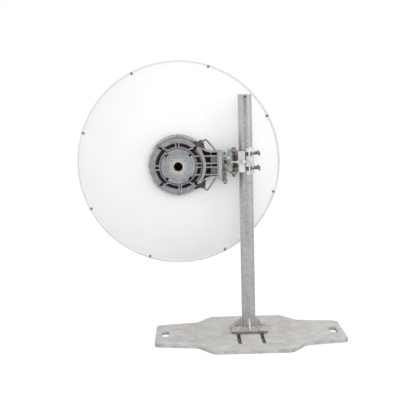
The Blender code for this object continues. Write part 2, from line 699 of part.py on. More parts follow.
def arm_outline():
    """Outline of the arm casting, from the ring's outside to the end plate."""
    low, high = ARM_Z
    edge = arc((AXIS_X, AXIS_Z), RING_OUTER, 41, -41, 10)
    lower = [(-0.200, 0.683), (-0.181, 0.6975), (-0.166, 0.7045), (-0.150, low), (ARM_END_X, low)]
    upper = [(ARM_END_X, high), (-0.150, high), (-0.164, 0.8205), (-0.177, 0.8265), (-0.203, 0.838)]
    return edge + lower + upper


def arm_pockets():
    """Deep pockets between the arm's ribs, and the shallow ones of its last bay."""
    wall, skin = 0.0025, 0.0040
    clear = RING_OUTER + 0.0035
    bay_end, bay_start, end = -0.1565, -0.1515, ARM_END_X - 0.0057
    floor, roof = ARM_Z[0] + skin, ARM_Z[1] - skin
    rows = [(low + wall, high - wall) for low, high in zip(ARM_RIB_HEIGHTS, ARM_RIB_HEIGHTS[1:])]
    deep, shallow = [], []
    for number, (low, high) in enumerate(rows):
        heights = [low + (high - low) * k / 3 for k in range(4)]
        left = [(ring_edge_x(height, clear), height) for height in heights]
        deep.append([*left, (bay_end, high), (bay_end, low)])
        bay = [(bay_start, low), (end, low), (end, high), (bay_start, high)]
        (deep if number == 1 else shallow).append(bay)
    top = ARM_RIB_HEIGHTS[-1] + wall
    deep.append([(ring_edge_x(top, clear), top), (bay_end, top), (bay_end, roof), (-0.1655, 0.8162),
                 (-0.179, 0.8222), (-0.195, 0.8302)])
    deep.append([(bay_start, top), (end, top), (end, roof), (bay_start, roof)])
    low = ARM_RIB_HEIGHTS[0] - wall
    deep.append([(ring_edge_x(low, clear), low), (bay_end, low), (bay_end, floor), (-0.168, 0.7090),
                 (-0.1825, 0.7020), (-0.195, 0.6905)])
    deep.append([(bay_start, low), (end, low), (end, floor), (bay_start, floor)])
    return deep, shallow


def hub_ribs():
    """Ribs that cross the round pocket: pairs at top, bottom and left, slanting ones, and the arm's."""
    width = 0.005
    inner, outer = 0.0765, RING_INNER + 0.004
    ribs = []
    for offset in (-0.0085, 0.0045):
        ribs.append(strip((AXIS_X + offset, AXIS_Z + inner), (AXIS_X + offset, AXIS_Z + outer), width))
    for offset in (0.0015, 0.0115):
        ribs.append(strip((AXIS_X + offset, AXIS_Z - outer), (AXIS_X + offset, AXIS_Z - inner), width))
    for offset in (0.0036, -0.0134):
        ribs.append(strip((AXIS_X - outer, AXIS_Z + offset), (AXIS_X - inner, AXIS_Z + offset), width))
    for side_x in (-1, 1):
        for side_z in (-1, 1):
            start = (AXIS_X + side_x * 0.065, AXIS_Z + side_z * 0.078)
            end = (AXIS_X + side_x * 0.0365, AXIS_Z + side_z * 0.0675)
            ribs.append(strip(start, end, width))
    for height in ARM_RIB_HEIGHTS:
        start, end = ((ring_edge_x(height, radius), height) for radius in (inner, outer))
        ribs.append(strip(start, end, width))
    return ribs


def build_hub(body):
    """Round hub casting, and the turned boss in its middle."""
    axis = (AXIS_X, AXIS_Z)
    hub = turned("hub_casting", True, hub_profile(), centre=axis)
    wall = arc(axis, RING_INNER + 0.009, 40, -40, 10) + arc(axis, RING_OUTER - 0.0006, -40, 40, 10)
    arm_root = flat("hub_arm_root", "Y", [wall], (ARM_FRONT_Y, -0.040), cutter=True)
    ribs = flat("hub_ribs", "Y", hub_ribs(), (-0.066, 0.010), cutter=True)
    corners = (45, 135, 225, 315)
    ring_holes = [circle(hub_point(0.1075, angle), 0.0040, 10) for angle in corners]
    ring_drill = flat("ring_screw_holes", "Y", ring_holes, (-0.086, -0.030), cutter=True)
    finish(cut(join(hub, arm_root, ribs), ring_drill), CAST_ALUMINIUM, body)
    boss = turned("port_boss", True, boss_profile(), centre=axis)
    boss_holes = [circle(hub_point(0.068, angle), 0.0035, 10) for angle in corners]
    boss_drill = flat("boss_screw_holes", "Y", boss_holes, (-0.085, -0.062), cutter=True)
    finish(cut(boss, boss_drill), CAST_ALUMINIUM, body)


def build_arm(body):
    """Arm casting with its pockets and the ears for the handles, fitted round the hub."""
    arm = flat("arm_casting", "Y", [arm_outline()], (ARM_FRONT_Y, ARM_BACK_Y))
    upper_ear = [(-0.219, 0.834), (-0.203, 0.834), (-0.176, 0.822), (-0.184, 0.8635), (-0.1955, 0.8655),
                 (-0.2045, 0.859), (-0.226, 0.862)]
    lower_ear = [(-0.219, 0.680), (-0.226, 0.652), (-0.2000, 0.660), (-0.1920, 0.6555), (-0.1800, 0.6575),
                 (-0.1745, 0.7025), (-0.200, 0.690)]
    ears = [flat(f"hub_ear_{label}", "Y", [loop], EAR_Y, cutter=True)
            for label, loop in (("upper", upper_ear), ("lower", lower_ear))]
    deep, shallow = arm_pockets()
    pockets = flat("arm_deep_pockets", "Y", deep, (ARM_FRONT_Y - 0.010, 0.018), cutter=True)
    panels = flat("arm_shallow_pockets", "Y", shallow, (ARM_FRONT_Y - 0.012, -0.052), cutter=True)
    ring_edge, flange_edge = RING_OUTER + SEAT, HUB_FLANGE_RADIUS + SEAT
    inside, ahead, behind = 0.050, ARM_FRONT_Y - 0.010, ARM_BACK_Y + 0.030
    step = HUB_FLANGE_Y[0] - 0.0015 - SEAT
    section = [(flange_edge, behind), (flange_edge, step), (ring_edge, step), (ring_edge, ahead),
               (inside, ahead), (inside, behind)]
    seat = turned("arm_hub_seat", True, section, centre=(AXIS_X, AXIS_Z), cutter=True)
    finish(cut(join(arm, *ears), pockets, panels, seat), CAST_ALUMINIUM, body)


def build_handles(body):
    """Two carrying handles bent from round bar, from the hub's ears to the arm."""
    ear_face = EAR_Y[0] - SEAT
    upper = [(-0.1900, ear_face, 0.8585), (-0.1900, HANDLE_Y, 0.8585), (-0.1735, HANDLE_Y, 0.8715),
             (-0.1340, HANDLE_Y, 0.8240), (-0.1340, HANDLE_Y, ARM_Z[1] + SEAT)]
    lower = [(-0.1870, ear_face, 0.6625), (-0.1870, HANDLE_Y, 0.6625), (-0.1715, HANDLE_Y, 0.6495),
             (-0.1350, HANDLE_Y, 0.7030), (-0.1350, HANDLE_Y, ARM_Z[0] - SEAT)]
    finish(bent_bar("upper_handle", upper, HANDLE_RADIUS, 0.011), CAST_ALUMINIUM, body)
    finish(bent_bar("lower_handle", lower, HANDLE_RADIUS, 0.011), CAST_ALUMINIUM, body)


def build_port(body):
    """Stacked port plates with ring and seal, and the feed tube behind the bore."""
    axis = (AXIS_X, AXIS_Z)
    front = PORT_SEAT_Y
    plate_bore, seal_seat = 0.0237, 0.0274
    for name, half, holes, corner, bore in (
        ("port_plate_outer", 0.0475, 0.0, 0.004, plate_bore),
        ("port_plate_inner", 0.0356, 0.0275, 0.002, seal_seat),
    ):
        loops = [rounded_box(axis, (half, half), corner), circle(axis, bore, 24)]
        if holes:
            loops += [circle((axis[0] + x * holes, axis[1] + z * holes), 0.0026, 10)
                      for x in (-1, 1) for z in (-1, 1)]
        ends = (front - PORT_PLATE_THICKNESS, front)
        finish(flat_curve(name, "Y", loops, ends), PLATE_ALUMINIUM, body)
        front = ends[0] - SEAT
    flush = front + 2 * SEAT
    seal_back = flush + PORT_PLATE_THICKNESS - SEAT
    seal_radii = (plate_bore + 0.0004, seal_seat - 0.0004)
    seal = ring("port_seal", True, seal_radii, (flush, seal_back), 24, axis)
    finish(seal, SEAL_RUBBER, body)
    lip_radii = (BORE_RADIUS + 0.0026, plate_bore - 0.0004)
    lip = ring("port_ring", True, lip_radii, (flush, PORT_SEAT_Y), 24, axis)
    finish(lip, BRIGHT_STEEL, body)
    tube = ring("feed_tube", True, (BORE_RADIUS - 0.0005, BORE_RADIUS + 0.0022), (flush, 0.150), 24, axis)
    finish(tube, BRIGHT_STEEL, body)


def dish_profile():
    """Thin paraboloid with a flat outer lip."""
    steps = 5
    radii = [DISH_HOLE_RADIUS + (DISH_RADIUS - DISH_HOLE_RADIUS) * k / steps for k in range(steps + 1)]
    back = [(radius, DISH_VERTEX_Y + DISH_DEPTH * (radius / DISH_RADIUS) ** 2) for radius in radii]
    lip = DISH_VERTEX_Y + DISH_DEPTH
    front = [(radius, height + DISH_WALL) for radius, height in back]
    edge = [(DISH_RADIUS + 0.008, lip + DISH_WALL), (DISH_RADIUS + 0.008, lip)]
    return [*edge, *reversed(back), *front]


def build_dish(body):
    """Reflector, radome, and the band that clamps them together."""
    axis = (AXIS_X, AXIS_Z)
    finish(turned("reflector", True, dish_profile(), DISH_STEPS, axis), WHITE_PAINT, body)
    lip = DISH_VERTEX_Y + DISH_DEPTH + DISH_WALL + SEAT
    edge = DISH_RADIUS + 0.008
    wall = 0.002
    steps = 3
    radii = [DISH_RADIUS * k / steps for k in range(steps + 1)]
    dome = [(radius, lip + RADOME_BULGE * (1 - (radius / DISH_RADIUS) ** 2)) for radius in radii]
    outer = [(radius, height + wall) for radius, height in dome]
    radome = [*outer, (edge, lip + wall), (edge, lip), *reversed(dome)]
    finish(turned("radome", True, radome, DISH_STEPS, axis), WHITE_PAINT, body)
    low, high = DISH_VERTEX_Y + DISH_DEPTH - SEAT, lip + wall + SEAT
    shell = 0.0018
    inner = RIM_RADIUS - shell
    band = [(RIM_RADIUS, high + shell), (RIM_RADIUS, low - shell), (DISH_RADIUS + 0.0035, low - shell),
            (DISH_RADIUS + 0.0035, low), (inner, low), (inner, high), (DISH_RADIUS + 0.0035, high),
            (DISH_RADIUS + 0.0035, high + shell)]
    finish(turned("rim_ring", True, band, DISH_STEPS, axis), WHITE_PAINT, body)


def build_arm_end(body):
    """End channel of the arm, turning on the elevation bolt, and the lug of the elevation rod."""
    face, wall = ARM_PLATE_X, ARM_PLATE_WALL
    tip, side = ARM_END_X + SEAT, 0.005
    front, back = -0.078, 0.027
    outline = [(face, front), (face, back), (tip, back), (tip, back - side), (face - wall, back - side),
               (face - wall, front + side), (tip, front + side), (tip, front)]
    channel = flat("arm_end_channel", "Z", [outline], ARM_PLATE_Z)
    through = (face - wall - 0.003, face + 0.005)
    tools = [prism("channel_pivot_bore", "X", ELEVATION_PIVOT, ELEVATION_BOLT_RADIUS + HOLE_CLEARANCE,
                   through, cutter=True)]
    for number, height in enumerate(LOCK_BOLT_HEIGHTS, start=1):
        loop = rounded_box((ELEVATION_PIVOT[0], height), (0.0085, 0.0050), 0.0045)
        tools.append(flat(f"channel_lock_slot_{number}", "X", [loop], through, cutter=True))
    finish(cut(channel, *tools), PLATE_ALUMINIUM, body)

    rod_x, rod_y = ELEVATION_ROD
    lug = rounded_box(((face + SEAT - 0.084) / 2, rod_y), ((-0.084 - face - SEAT) / 2, 0.0155), 0.002, 2)
    slot = rounded_box(ELEVATION_ROD, (0.0047, 0.0080), 0.0044)
    finish(flat_curve("elevation_lug", "Z", [lug, slot], (0.727, 0.735)), BOLT_STEEL, body)


def make_body(name, place, parent):
    """Empty on a body's joint axis."""
    empty = bpy.data.objects.new(name, None)
    PARTS.objects.link(empty)
    empty.empty_display_size = 0.03
    origin = Vector((0.0, 0.0, 0.0))
    above = parent
    while above is not None:
        origin += above.location
        above = above.parent
    empty.parent = parent
    empty.location = Vector(place) - origin
    return empty


def main():
    clamp = make_body("clamp_axis", (0.0, 0.0, ROD_Z), None)
    yoke = make_body("azimuth_axis", (*AZIMUTH_PIVOT, ROD_Z), clamp)
    rod = make_body("azimuth_rod_axis", (*ROD_PIN, ROD_Z), yoke)
    antenna = make_body("elevation_axis", (ARM_PLATE_X, *ELEVATION_PIVOT), yoke)
    build_stand()
    build_clamp(clamp)
    build_yoke(yoke)
    build_azimuth_rod(rod)
    build_arm_end(antenna)
    build_hub(antenna)
    build_arm(antenna)
    build_handles(antenna)
    build_port(antenna)
    build_dish(antenna)


for leftover in list(bpy.data.objects):
    bpy.data.objects.remove(leftover)
PARTS = make_collection("microwave_dish_antenna")
CUTTERS = make_collection("cutters")
main()
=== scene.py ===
"""Dressed model of a microwave link antenna on an adjustable pole mount and a slotted floor plate.

Metres, +Z up, +Y along the antenna's beam. The pole's axis stands on the origin.
"""

import logging
import math
from collections.abc import Callable, Sequence
from dataclasses import dataclass, field
from enum import Enum
from typing import Any, ClassVar

import bmesh
import bpy
from mathutils import Matrix, Vector

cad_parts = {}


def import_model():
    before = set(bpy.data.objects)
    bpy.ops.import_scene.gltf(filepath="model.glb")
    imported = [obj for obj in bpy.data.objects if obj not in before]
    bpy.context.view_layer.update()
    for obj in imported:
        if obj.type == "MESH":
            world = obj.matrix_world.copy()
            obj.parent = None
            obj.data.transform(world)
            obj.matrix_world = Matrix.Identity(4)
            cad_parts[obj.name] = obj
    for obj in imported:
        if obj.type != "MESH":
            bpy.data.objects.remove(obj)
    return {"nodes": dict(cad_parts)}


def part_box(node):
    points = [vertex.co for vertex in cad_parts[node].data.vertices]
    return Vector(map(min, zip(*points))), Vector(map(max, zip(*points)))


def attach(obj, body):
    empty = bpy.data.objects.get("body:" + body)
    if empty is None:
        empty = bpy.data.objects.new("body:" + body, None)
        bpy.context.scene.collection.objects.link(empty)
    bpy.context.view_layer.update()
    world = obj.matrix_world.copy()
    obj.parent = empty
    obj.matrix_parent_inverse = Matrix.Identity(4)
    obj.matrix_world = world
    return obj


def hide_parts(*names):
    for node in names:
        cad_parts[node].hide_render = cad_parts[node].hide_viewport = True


LOG = logging.getLogger("dish_antenna")

Point = tuple[float, float]
Place = tuple[float, float, float]
Loop = list[Point]
Route = Sequence[Sequence[float]]
Piece = bpy.types.Object
NodeTree = bpy.types.NodeTree

# Kinds of node that most trees use.
MATH, VECTOR_MATH, MIX, RANGE = (
    f"ShaderNode{kind}" for kind in ("Math", "VectorMath", "Mix", "MapRange"))

# Gap that keeps two touching pieces apart.
SEAT = 0.0003

# Angles past which an edge shades sharp: flat work, turned work, bent bar, nuts and threads.
SHARP = math.radians(32)
TURNED_SHARP = math.radians(40)
BAR_SHARP = math.radians(50)
NUT_SHARP = math.radians(25)
THREAD_SHARP = math.radians(20)

# Points closer than this are one point, and faces that bend less than this are one face.
WELD_REACH = 0.000005
POLE_REACH = 0.0000005
FLAT_ANGLE = math.radians(0.6)

# The part of a noise's range that its values really fill.
NOISE_LOW, NOISE_HIGH = 0.3, 0.7

# Where the antenna's axis crosses the plane of X and Z.
AXIS: Point = (-0.294, 0.757)

# Turned sections give their place along +Y, while the frame of that axis looks along -Y.
MIRROR = Matrix.Diagonal((1, 1, -1, 1))


class Body(Enum):
    """Moving bodies of the model."""

    STAND = "stand"
    CLAMP = "clamp"
    YOKE = "yoke"
    ROD = "azimuth_rod"
    ANTENNA = "antenna"


class Facing(Enum):
    """Axis that a flat outline or a bar runs along."""

    X = "X"
    Y = "Y"
    Z = "Z"

    @property
    def turn(self) -> Matrix:
        """Rotation from an outline's own plane to the world.

        Returns:
            The rotation.
        """
        columns = {
            "X": ((0, 1, 0), (0, 0, 1), (1, 0, 0)),
            "Y": ((1, 0, 0), (0, 0, 1), (0, -1, 0)),
            "Z": ((1, 0, 0), (0, 1, 0), (0, 0, 1)),
        }[self.value]
        return Matrix(columns).transposed().to_4x4()

    def place(self, centre: Point, along: float) -> Vector:
        """World point of a place in the plane.

        Args:
            centre: The plane's own two coordinates.
            along: Coordinate along the axis.

        Returns:
            The point in the world.
        """
        a, b = centre
        return Vector({"X": (along, a, b), "Y": (a, along, b), "Z": (a, b, along)}[self.value])

    def frame(self, centre: Point, along: float) -> Matrix:
        """Move and turn that set a Z-wise piece from the origin on this axis.

        Args:
            centre: Where the axis crosses its plane.
            along: Place of the piece's origin along the axis.

        Returns:
            The matrix for the piece's mesh.
        """
        return Matrix.Translation(self.place(centre, along)) @ self.turn


def linear(code: str) -> tuple[float, float, float, float]:
    """Turn an sRGB hex colour into linear RGBA.

    Args:
        code: Colour such as "#9a989a".

    Returns:
        Linear red, green, blue and full alpha.
    """
    parts = [int(code[k:k + 2], 16) / 255 for k in (1, 3, 5)]
    red, green, blue = [c / 12.92 if c <= 0.04045 else ((c + 0.055) / 1.055) ** 2.4 for c in parts]
    return (red, green, blue, 1.0)


def add_node(
    tree: NodeTree, kind: str, links: dict[Any, Any] | None = None, **settings: Any,
) -> Any:
    """Add a node with its settings, and link or set its inputs.

    Args:
        tree: Tree that takes the node.
        kind: Node's type name.
        links: Input name or number to a socket or a plain value.
        **settings: Properties of the node.

    Returns:
        The new node.
    """
    node = tree.nodes.new(kind)
    for key, value in settings.items():
        setattr(node, key, value)
    for name, source in (links or {}).items():
        if isinstance(source, bpy.types.NodeSocket):
            tree.links.new(source, node.inputs[name])
        else:
            node.inputs[name].default_value = source
    return node


def fill_ramp(node: Any, stops: Sequence[tuple[float, str]]) -> None:
    """Set a colour ramp's stops.

    Args:
        node: Colour ramp node.
        stops: Places from 0 to 1 with their hex colours.
    """
    elements = node.color_ramp.elements
    while len(elements) > 1:
        elements.remove(elements[-1])
    elements[0].position, elements[0].color = stops[0][0], linear(stops[0][1])
    for position, code in stops[1:]:
        elements.new(position).color = linear(code)


@dataclass(frozen=True)
class Finish:
    """A real surface and the values that its look starts from."""

    name: str
    colour: str
    roughness: float
    metallic: float = 0.0

    def material(self) -> bpy.types.Material:
        """Build the material once, and find it in the file's own list afterwards.

        Returns:
            The finish's material.
        """
        known = bpy.data.materials.get(self.name)
        if known is not None:
            return known
        made = bpy.data.materials.new(self.name)
        made.use_nodes = True
        tree = made.node_tree
        shader = tree.nodes["Principled BSDF"]
        shader.inputs["Base Color"].default_value = linear(self.colour)
        shader.inputs["Roughness"].default_value = self.roughness
        shader.inputs["Metallic"].default_value = self.metallic
        made.diffuse_color = linear(self.colour)
        self.dress(tree, shader)
        return made

    def dress(self, tree: NodeTree, shader: Any) -> None:
        """Add the surface's own patterns.

        Args:
            tree: Material's tree.
            shader: Its surface shader.
        """

    @staticmethod
    def grain(
        tree: NodeTree, size: float, detail: float = 3.0, stretch: Place = (1, 1, 1),
    ) -> Any:
        """Noise on Object coordinates.

        Args:
            tree: Material's tree.
            size: Size of one blotch in metres.
            detail: Octaves of finer noise.
            stretch: How much the pattern is pressed together along each axis.

        Returns:
            The noise node.
        """
        where = add_node(tree, "ShaderNodeTexCoord")
        mapped = add_node(tree, "ShaderNodeMapping", {"Vector": where.outputs["Object"], "Scale": stretch})
        return add_node(
            tree, "ShaderNodeTexNoise", {"Vector": mapped.outputs[0], "Scale": 1.0 / size, "Detail": detail})

    def vary_gloss(self, tree: NodeTree, shader: Any, source: Any, swing: Point) -> None:
        """Let the roughness follow a pattern.

        Args:
            tree: Material's tree.
            shader: Principled node.
            source: Socket with values round one half.
            swing: What the pattern's dark and bright sides add to the finish's roughness.
        """
        node = add_node(tree, RANGE, {
            "Value": source, "From Min": NOISE_LOW, "From Max": NOISE_HIGH,
            "To Min": self.roughness + swing[0], "To Max": self.roughness + swing[1]})
        tree.links.new(node.outputs[0], shader.inputs["Roughness"])

    def drift_colour(self, tree: NodeTree, shader: Any, source: Any, second: str) -> None:
        """Let the colour drift to a second one with a pattern.

        Args:
            tree: Material's tree.
            shader: Principled node.
            source: Socket with values round one half.
            second: Hex colour at the pattern's bright side.
        """
        share = add_node(tree, RANGE, {
            "Value": source, "From Min": NOISE_LOW, "From Max": NOISE_HIGH, "To Min": 0.0, "To Max": 1.0})
        mix = add_node(tree, MIX, {
            0: share.outputs[0], 6: linear(self.colour), 7: linear(second)}, data_type="RGBA")
        tree.links.new(mix.outputs[2], shader.inputs["Base Color"])

    @staticmethod
    def raise_grain(
        tree: NodeTree, shader: Any, height: Any, depth: float, strength: float = 0.5,
    ) -> None:
        """Give the surface a fine relief.

        Args:
            tree: Material's tree.
            shader: Principled node.
            height: Socket with the height.
            depth: Height in metres at full value.
            strength: Share of the relief.
        """
        node = add_node(tree, "ShaderNodeBump", {"Height": height, "Distance": depth, "Strength": strength})
        tree.links.new(node.outputs[0], shader.inputs["Normal"])


@dataclass(frozen=True)
class PowderCoat(Finish):
    """Polyester powder coat on spun aluminium: a soft, faintly pebbled white."""

    pebble: float = 0.0016
    shade: str = "#eeeeef"
    clouding: float = 0.12

    def dress(self, tree: NodeTree, shader: Any) -> None:
        """Orange peel in the bump and a faint clouding of the white.

        Args:
            tree: Material's tree.
            shader: Its surface shader.
        """
        clouds = self.grain(tree, self.clouding, 2.0).outputs[0]
        self.drift_colour(tree, shader, clouds, self.shade)
        self.vary_gloss(tree, shader, clouds, (-0.05, 0.05))
        self.raise_grain(tree, shader, self.grain(tree, self.pebble, 1.0).outputs[0], 0.00006)


@dataclass(frozen=True)
class HotDipZinc(Finish):
    """Hot-dip galvanising: crystals of spangle in greys, with runs down the tube."""

    spangle: float = 0.009
    dark: str = "#8b8c8f"
    light: str = "#c3c4c6"
    run_stretch: Place = (1, 1, 0.12)
    mottle: float = 0.035
    relief: float = 0.25

    def dress(self, tree: NodeTree, shader: Any) -> None:
        """Spangle, runs and mottling in colour and roughness, with a low crystal relief.

        Args:
            tree: Material's tree.
            shader: Its surface shader.
        """
        where = add_node(tree, "ShaderNodeTexCoord")
        wander = self.grain(tree, self.spangle * 1.5, 2.0)
        bent = add_node(tree, VECTOR_MATH, {
            0: wander.outputs[1], "Scale": self.spangle * 0.7}, operation="SCALE")
        moved = add_node(tree, VECTOR_MATH, {0: where.outputs["Object"], 1: bent.outputs[0]})
        cells = add_node(tree, "ShaderNodeTexVoronoi", {
            "Vector": moved.outputs[0], "Scale": 1.0 / self.spangle})
        cell_value = add_node(tree, "ShaderNodeSeparateColor", {0: cells.outputs["Color"]})
        runs = self.grain(tree, self.mottle * 0.35, 3.0, self.run_stretch)
        clouds = self.grain(tree, self.mottle, 4.0)
        total: Any = 0.0
        for source, share in ((cell_value, 0.34), (runs, 0.42), (clouds, 0.42)):
            total = add_node(tree, MATH, {
                0: source.outputs[0], 1: share, 2: total}, operation="MULTIPLY_ADD").outputs[0]
        ramp = add_node(tree, "ShaderNodeValToRGB", {0: total})
        fill_ramp(ramp, ((0.36, self.dark), (0.58, self.colour), (0.82, self.light)))
        tree.links.new(ramp.outputs[0], shader.inputs["Base Color"])
        self.vary_gloss(tree, shader, total, (-0.08, 0.10))
        self.raise_grain(tree, shader, total, 0.0004, self.relief)


@dataclass(frozen=True)
class RoughZincPlate(Finish):
    """Thick plate after the zinc bath: warm grey clouds, fine pits and a few brownish stains."""

    stain: str = "#c4b7ab"
    dark: str = "#c1bebb"
    light: str = "#dddad7"

    def dress(self, tree: NodeTree, shader: Any) -> None:
        """Clouds, stains and pits.

        Args:
            tree: Material's tree.
            shader: Its surface shader.
        """
        clouds = self.grain(tree, 0.035, 6.0)
        ramp = add_node(tree, "ShaderNodeValToRGB", {0: clouds.outputs[0]})
        fill_ramp(ramp, ((0.30, self.dark), (0.50, self.colour), (0.72, self.light)))
        blots = self.grain(tree, 0.11, 5.0)
        patch = add_node(tree, RANGE, {
            "Value": blots.outputs[0], "From Min": 0.60, "From Max": 0.74, "To Min": 0.0, "To Max": 0.55})
        tint = add_node(tree, MIX, {
            0: patch.outputs[0], 6: ramp.outputs[0], 7: linear(self.stain)}, data_type="RGBA")
        pits = self.grain(tree, 0.0032, 4.0)
        speck = add_node(tree, RANGE, {
            "Value": pits.outputs[0], "From Min": 0.35, "From Max": 0.65, "To Min": 0.90, "To Max": 1.06})
        toned = add_node(tree, VECTOR_MATH, {
            0: tint.outputs[2], "Scale": speck.outputs[0]}, operation="SCALE")
        tree.links.new(toned.outputs[0], shader.inputs["Base Color"])
        self.vary_gloss(tree, shader, clouds.outputs[0], (-0.08, 0.08))
        self.raise_grain(tree, shader, pits.outputs[0], 0.0005, 0.4)


@dataclass(frozen=True)
class DieCast(Finish):
    """Die-cast aluminium: an even satin grey with fine turned marks on its round faces."""

    turning: float = 0.0032
    dark: str = "#858387"
    light: str = "#b4b2b4"

    def dress(self, tree: NodeTree, shader: Any) -> None:
        """Casting skin, and rings round the antenna's axis drawn coarser than real so that they show.

        Args:
            tree: Material's tree.
            shader: Its surface shader.
        """
        where = add_node(tree, "ShaderNodeTexCoord")
        moved = add_node(tree, "ShaderNodeMapping", {
            "Vector": where.outputs["Object"], "Location": (-AXIS[0], 0.0, -AXIS[1]),
            "Scale": (1.0, 0.0, 1.0)})
        radius = add_node(tree, VECTOR_MATH, {0: moved.outputs[0]}, operation="LENGTH")
        turns = add_node(tree, MATH, {
            0: radius.outputs["Value"], 1: 2 * math.pi / self.turning}, operation="MULTIPLY")
        wave = add_node(tree, MATH, {0: turns.outputs[0]}, operation="SINE")
        skin = self.grain(tree, 0.020, 3.0)
        tone = add_node(tree, MATH, {
            0: wave.outputs[0], 1: 0.05, 2: skin.outputs[0]}, operation="MULTIPLY_ADD")
        ramp = add_node(tree, "ShaderNodeValToRGB", {0: tone.outputs[0]})
        fill_ramp(ramp, ((0.32, self.dark), (0.5, self.colour), (0.68, self.light)))
        tree.links.new(ramp.outputs[0], shader.inputs["Base Color"])
        self.vary_gloss(tree, shader, tone.outputs[0], (0.07, -0.07))
        self.raise_grain(tree, shader, self.grain(tree, 0.0012, 2.0).outputs[0], 0.00012)


@dataclass(frozen=True)
class Passivated(Finish):
    """Plated steel or chromated aluminium: a metal skin whose tint drifts over the piece."""

    tint: str = "#a9a4b4"
    drift: float = 0.035
    grain_size: float = 0.0015

    def dress(self, tree: NodeTree, shader: Any) -> None:
        """Drifting tint, uneven gloss and a rolled grain.

        Args:
            tree: Material's tree.
            shader: Its surface shader.
        """
        self.drift_colour(tree, shader, self.grain(tree, self.drift, 2.0).outputs[0], self.tint)
        fine = self.grain(tree, self.grain_size).outputs[0]
        self.vary_gloss(tree, shader, fine, (-0.07, 0.10))
        self.raise_grain(tree, shader, fine, 0.00008)


@dataclass(frozen=True)
class StudioFloor(Finish):
    """Matt paper sweep, which the camera sees almost burnt out to white, with a painted shadow under the
    slots.
    """

    lift: float = 0.62
    glow: float = 1.25
    painted_slot_shadow: str = "#8f888d"
    shade_centre: Place = (0.0, 0.035, 0.0)
    shade_stretch: Place = (2.2, 1.0, 0.0)
    shade_radii: Point = (0.245, 0.300)

    def dress(self, tree: NodeTree, shader: Any) -> None:
        """Blend the paper with plain white for camera rays alone, and paint a shadow under the slots.

        Args:
            tree: Material's tree.
            shader: Its surface shader.
        """
        where = add_node(tree, "ShaderNodeTexCoord")
        centred = add_node(tree, VECTOR_MATH, {0: where.outputs["Object"], 1: self.shade_centre})
        pressed = add_node(tree, VECTOR_MATH, {
            0: centred.outputs[0], 1: self.shade_stretch}, operation="MULTIPLY")
        reach = add_node(tree, VECTOR_MATH, {0: pressed.outputs[0]}, operation="LENGTH")
        open_floor = add_node(tree, RANGE, {
            "Value": reach.outputs["Value"], "From Min": self.shade_radii[0], "From Max": self.shade_radii[1],
            "To Min": 0.0, "To Max": 1.0})
        # Painted shadow: the floor greys under the slots and fades to its own colour further out.
        tone = add_node(tree, MIX, {
            0: open_floor.outputs[0], 6: linear(self.painted_slot_shadow), 7: linear(self.colour)}, data_type="RGBA")
        tree.links.new(tone.outputs[2], shader.inputs["Base Color"])
        ray = add_node(tree, "ShaderNodeLightPath")
        lifted = add_node(tree, MATH, {
            0: open_floor.outputs[0], 1: self.lift}, operation="MULTIPLY")
        share = add_node(tree, MATH, {
            0: ray.outputs["Is Camera Ray"], 1: lifted.outputs[0]}, operation="MULTIPLY")
        glow = add_node(tree, "ShaderNodeEmission", {"Color": linear("#ffffff"), "Strength": self.glow})
        blend = add_node(tree, "ShaderNodeMixShader", {
            0: share.outputs[0], 1: shader.outputs[0], 2: glow.outputs[0]})
        tree.links.new(blend.outputs[0], tree.nodes["Material Output"].inputs["Surface"])


# Painted aluminium and plastic: even whites that differ only in their sheen.
WHITE_COAT = PowderCoat("powder_coated_aluminium", "#f5f5f5", 0.42, shade="#f3f3f3")
RADOME_SKIN = PowderCoat("moulded_radome_plastic", "#f3f3f2", 0.5, pebble=0.0011, shade="#f1f1f0")
RIM_BAND = PowderCoat("powder_coated_rim_band", "#dfdfe0", 0.4, shade="#d3d3d5")

# Hot-dip galvanised steel: grey crystals, brighter on welds and darker on the plate's cut edges; the flange's
# side faces carry painted shade, and the gussets' narrow faces a painted highlight.
POLE_ZINC = HotDipZinc("hot_dip_galvanised_tube", "#bbbbbd", 0.32, 0.88, spangle=0.008, dark="#adaeb0",
                       light="#c9cacc", mottle=0.06, relief=0.03)
FLANGE_ZINC = HotDipZinc("hot_dip_galvanised_flange", "#c4c1bd", 0.48, 0.35, spangle=0.006, mottle=0.05,
                         run_stretch=(1, 1, 0.6), dark="#aeaba8", light="#d8d5d1")
# Painted shade: the plates' side faces take this darker zinc, standing in for the shade they fall in under
# light from above.
FLANGE_SIDE_SHADE = HotDipZinc("galvanised_flange_side_painted_shade", "#7d7a77", 0.5, 0.35, spangle=0.006, mottle=0.03,
                         run_stretch=(1, 1, 0.6), dark="#65625f", light="#979390")
GUSSET_ZINC = HotDipZinc("hot_dip_galvanised_gusset", "#a6a5a5", 0.5, 0.35, spangle=0.006, mottle=0.05,
                         run_stretch=(1, 1, 0.6), dark="#979695", light="#b7b5b3")
# This zinc serves the weld beads, and also the gussets' narrow faces, where it is a painted highlight along
# their edges.
WELD_AND_EDGE_HIGHLIGHT_ZINC = HotDipZinc("galvanised_weld", "#d4d2cf", 0.38, 0.45, spangle=0.005, mottle=0.012,
                       dark="#b3b0ad", light="#efedea", run_stretch=(1, 1, 1))
PLATE_ZINC = RoughZincPlate("hot_dip_galvanised_plate", "#cecbc8", 0.58, 0.12)
PLATE_EDGE = RoughZincPlate("flame_cut_plate_edge", "#bcbabb", 0.62, 0.15, stain="#9a8a7c", dark="#a5a3a5",
                            light="#cdcbcb")
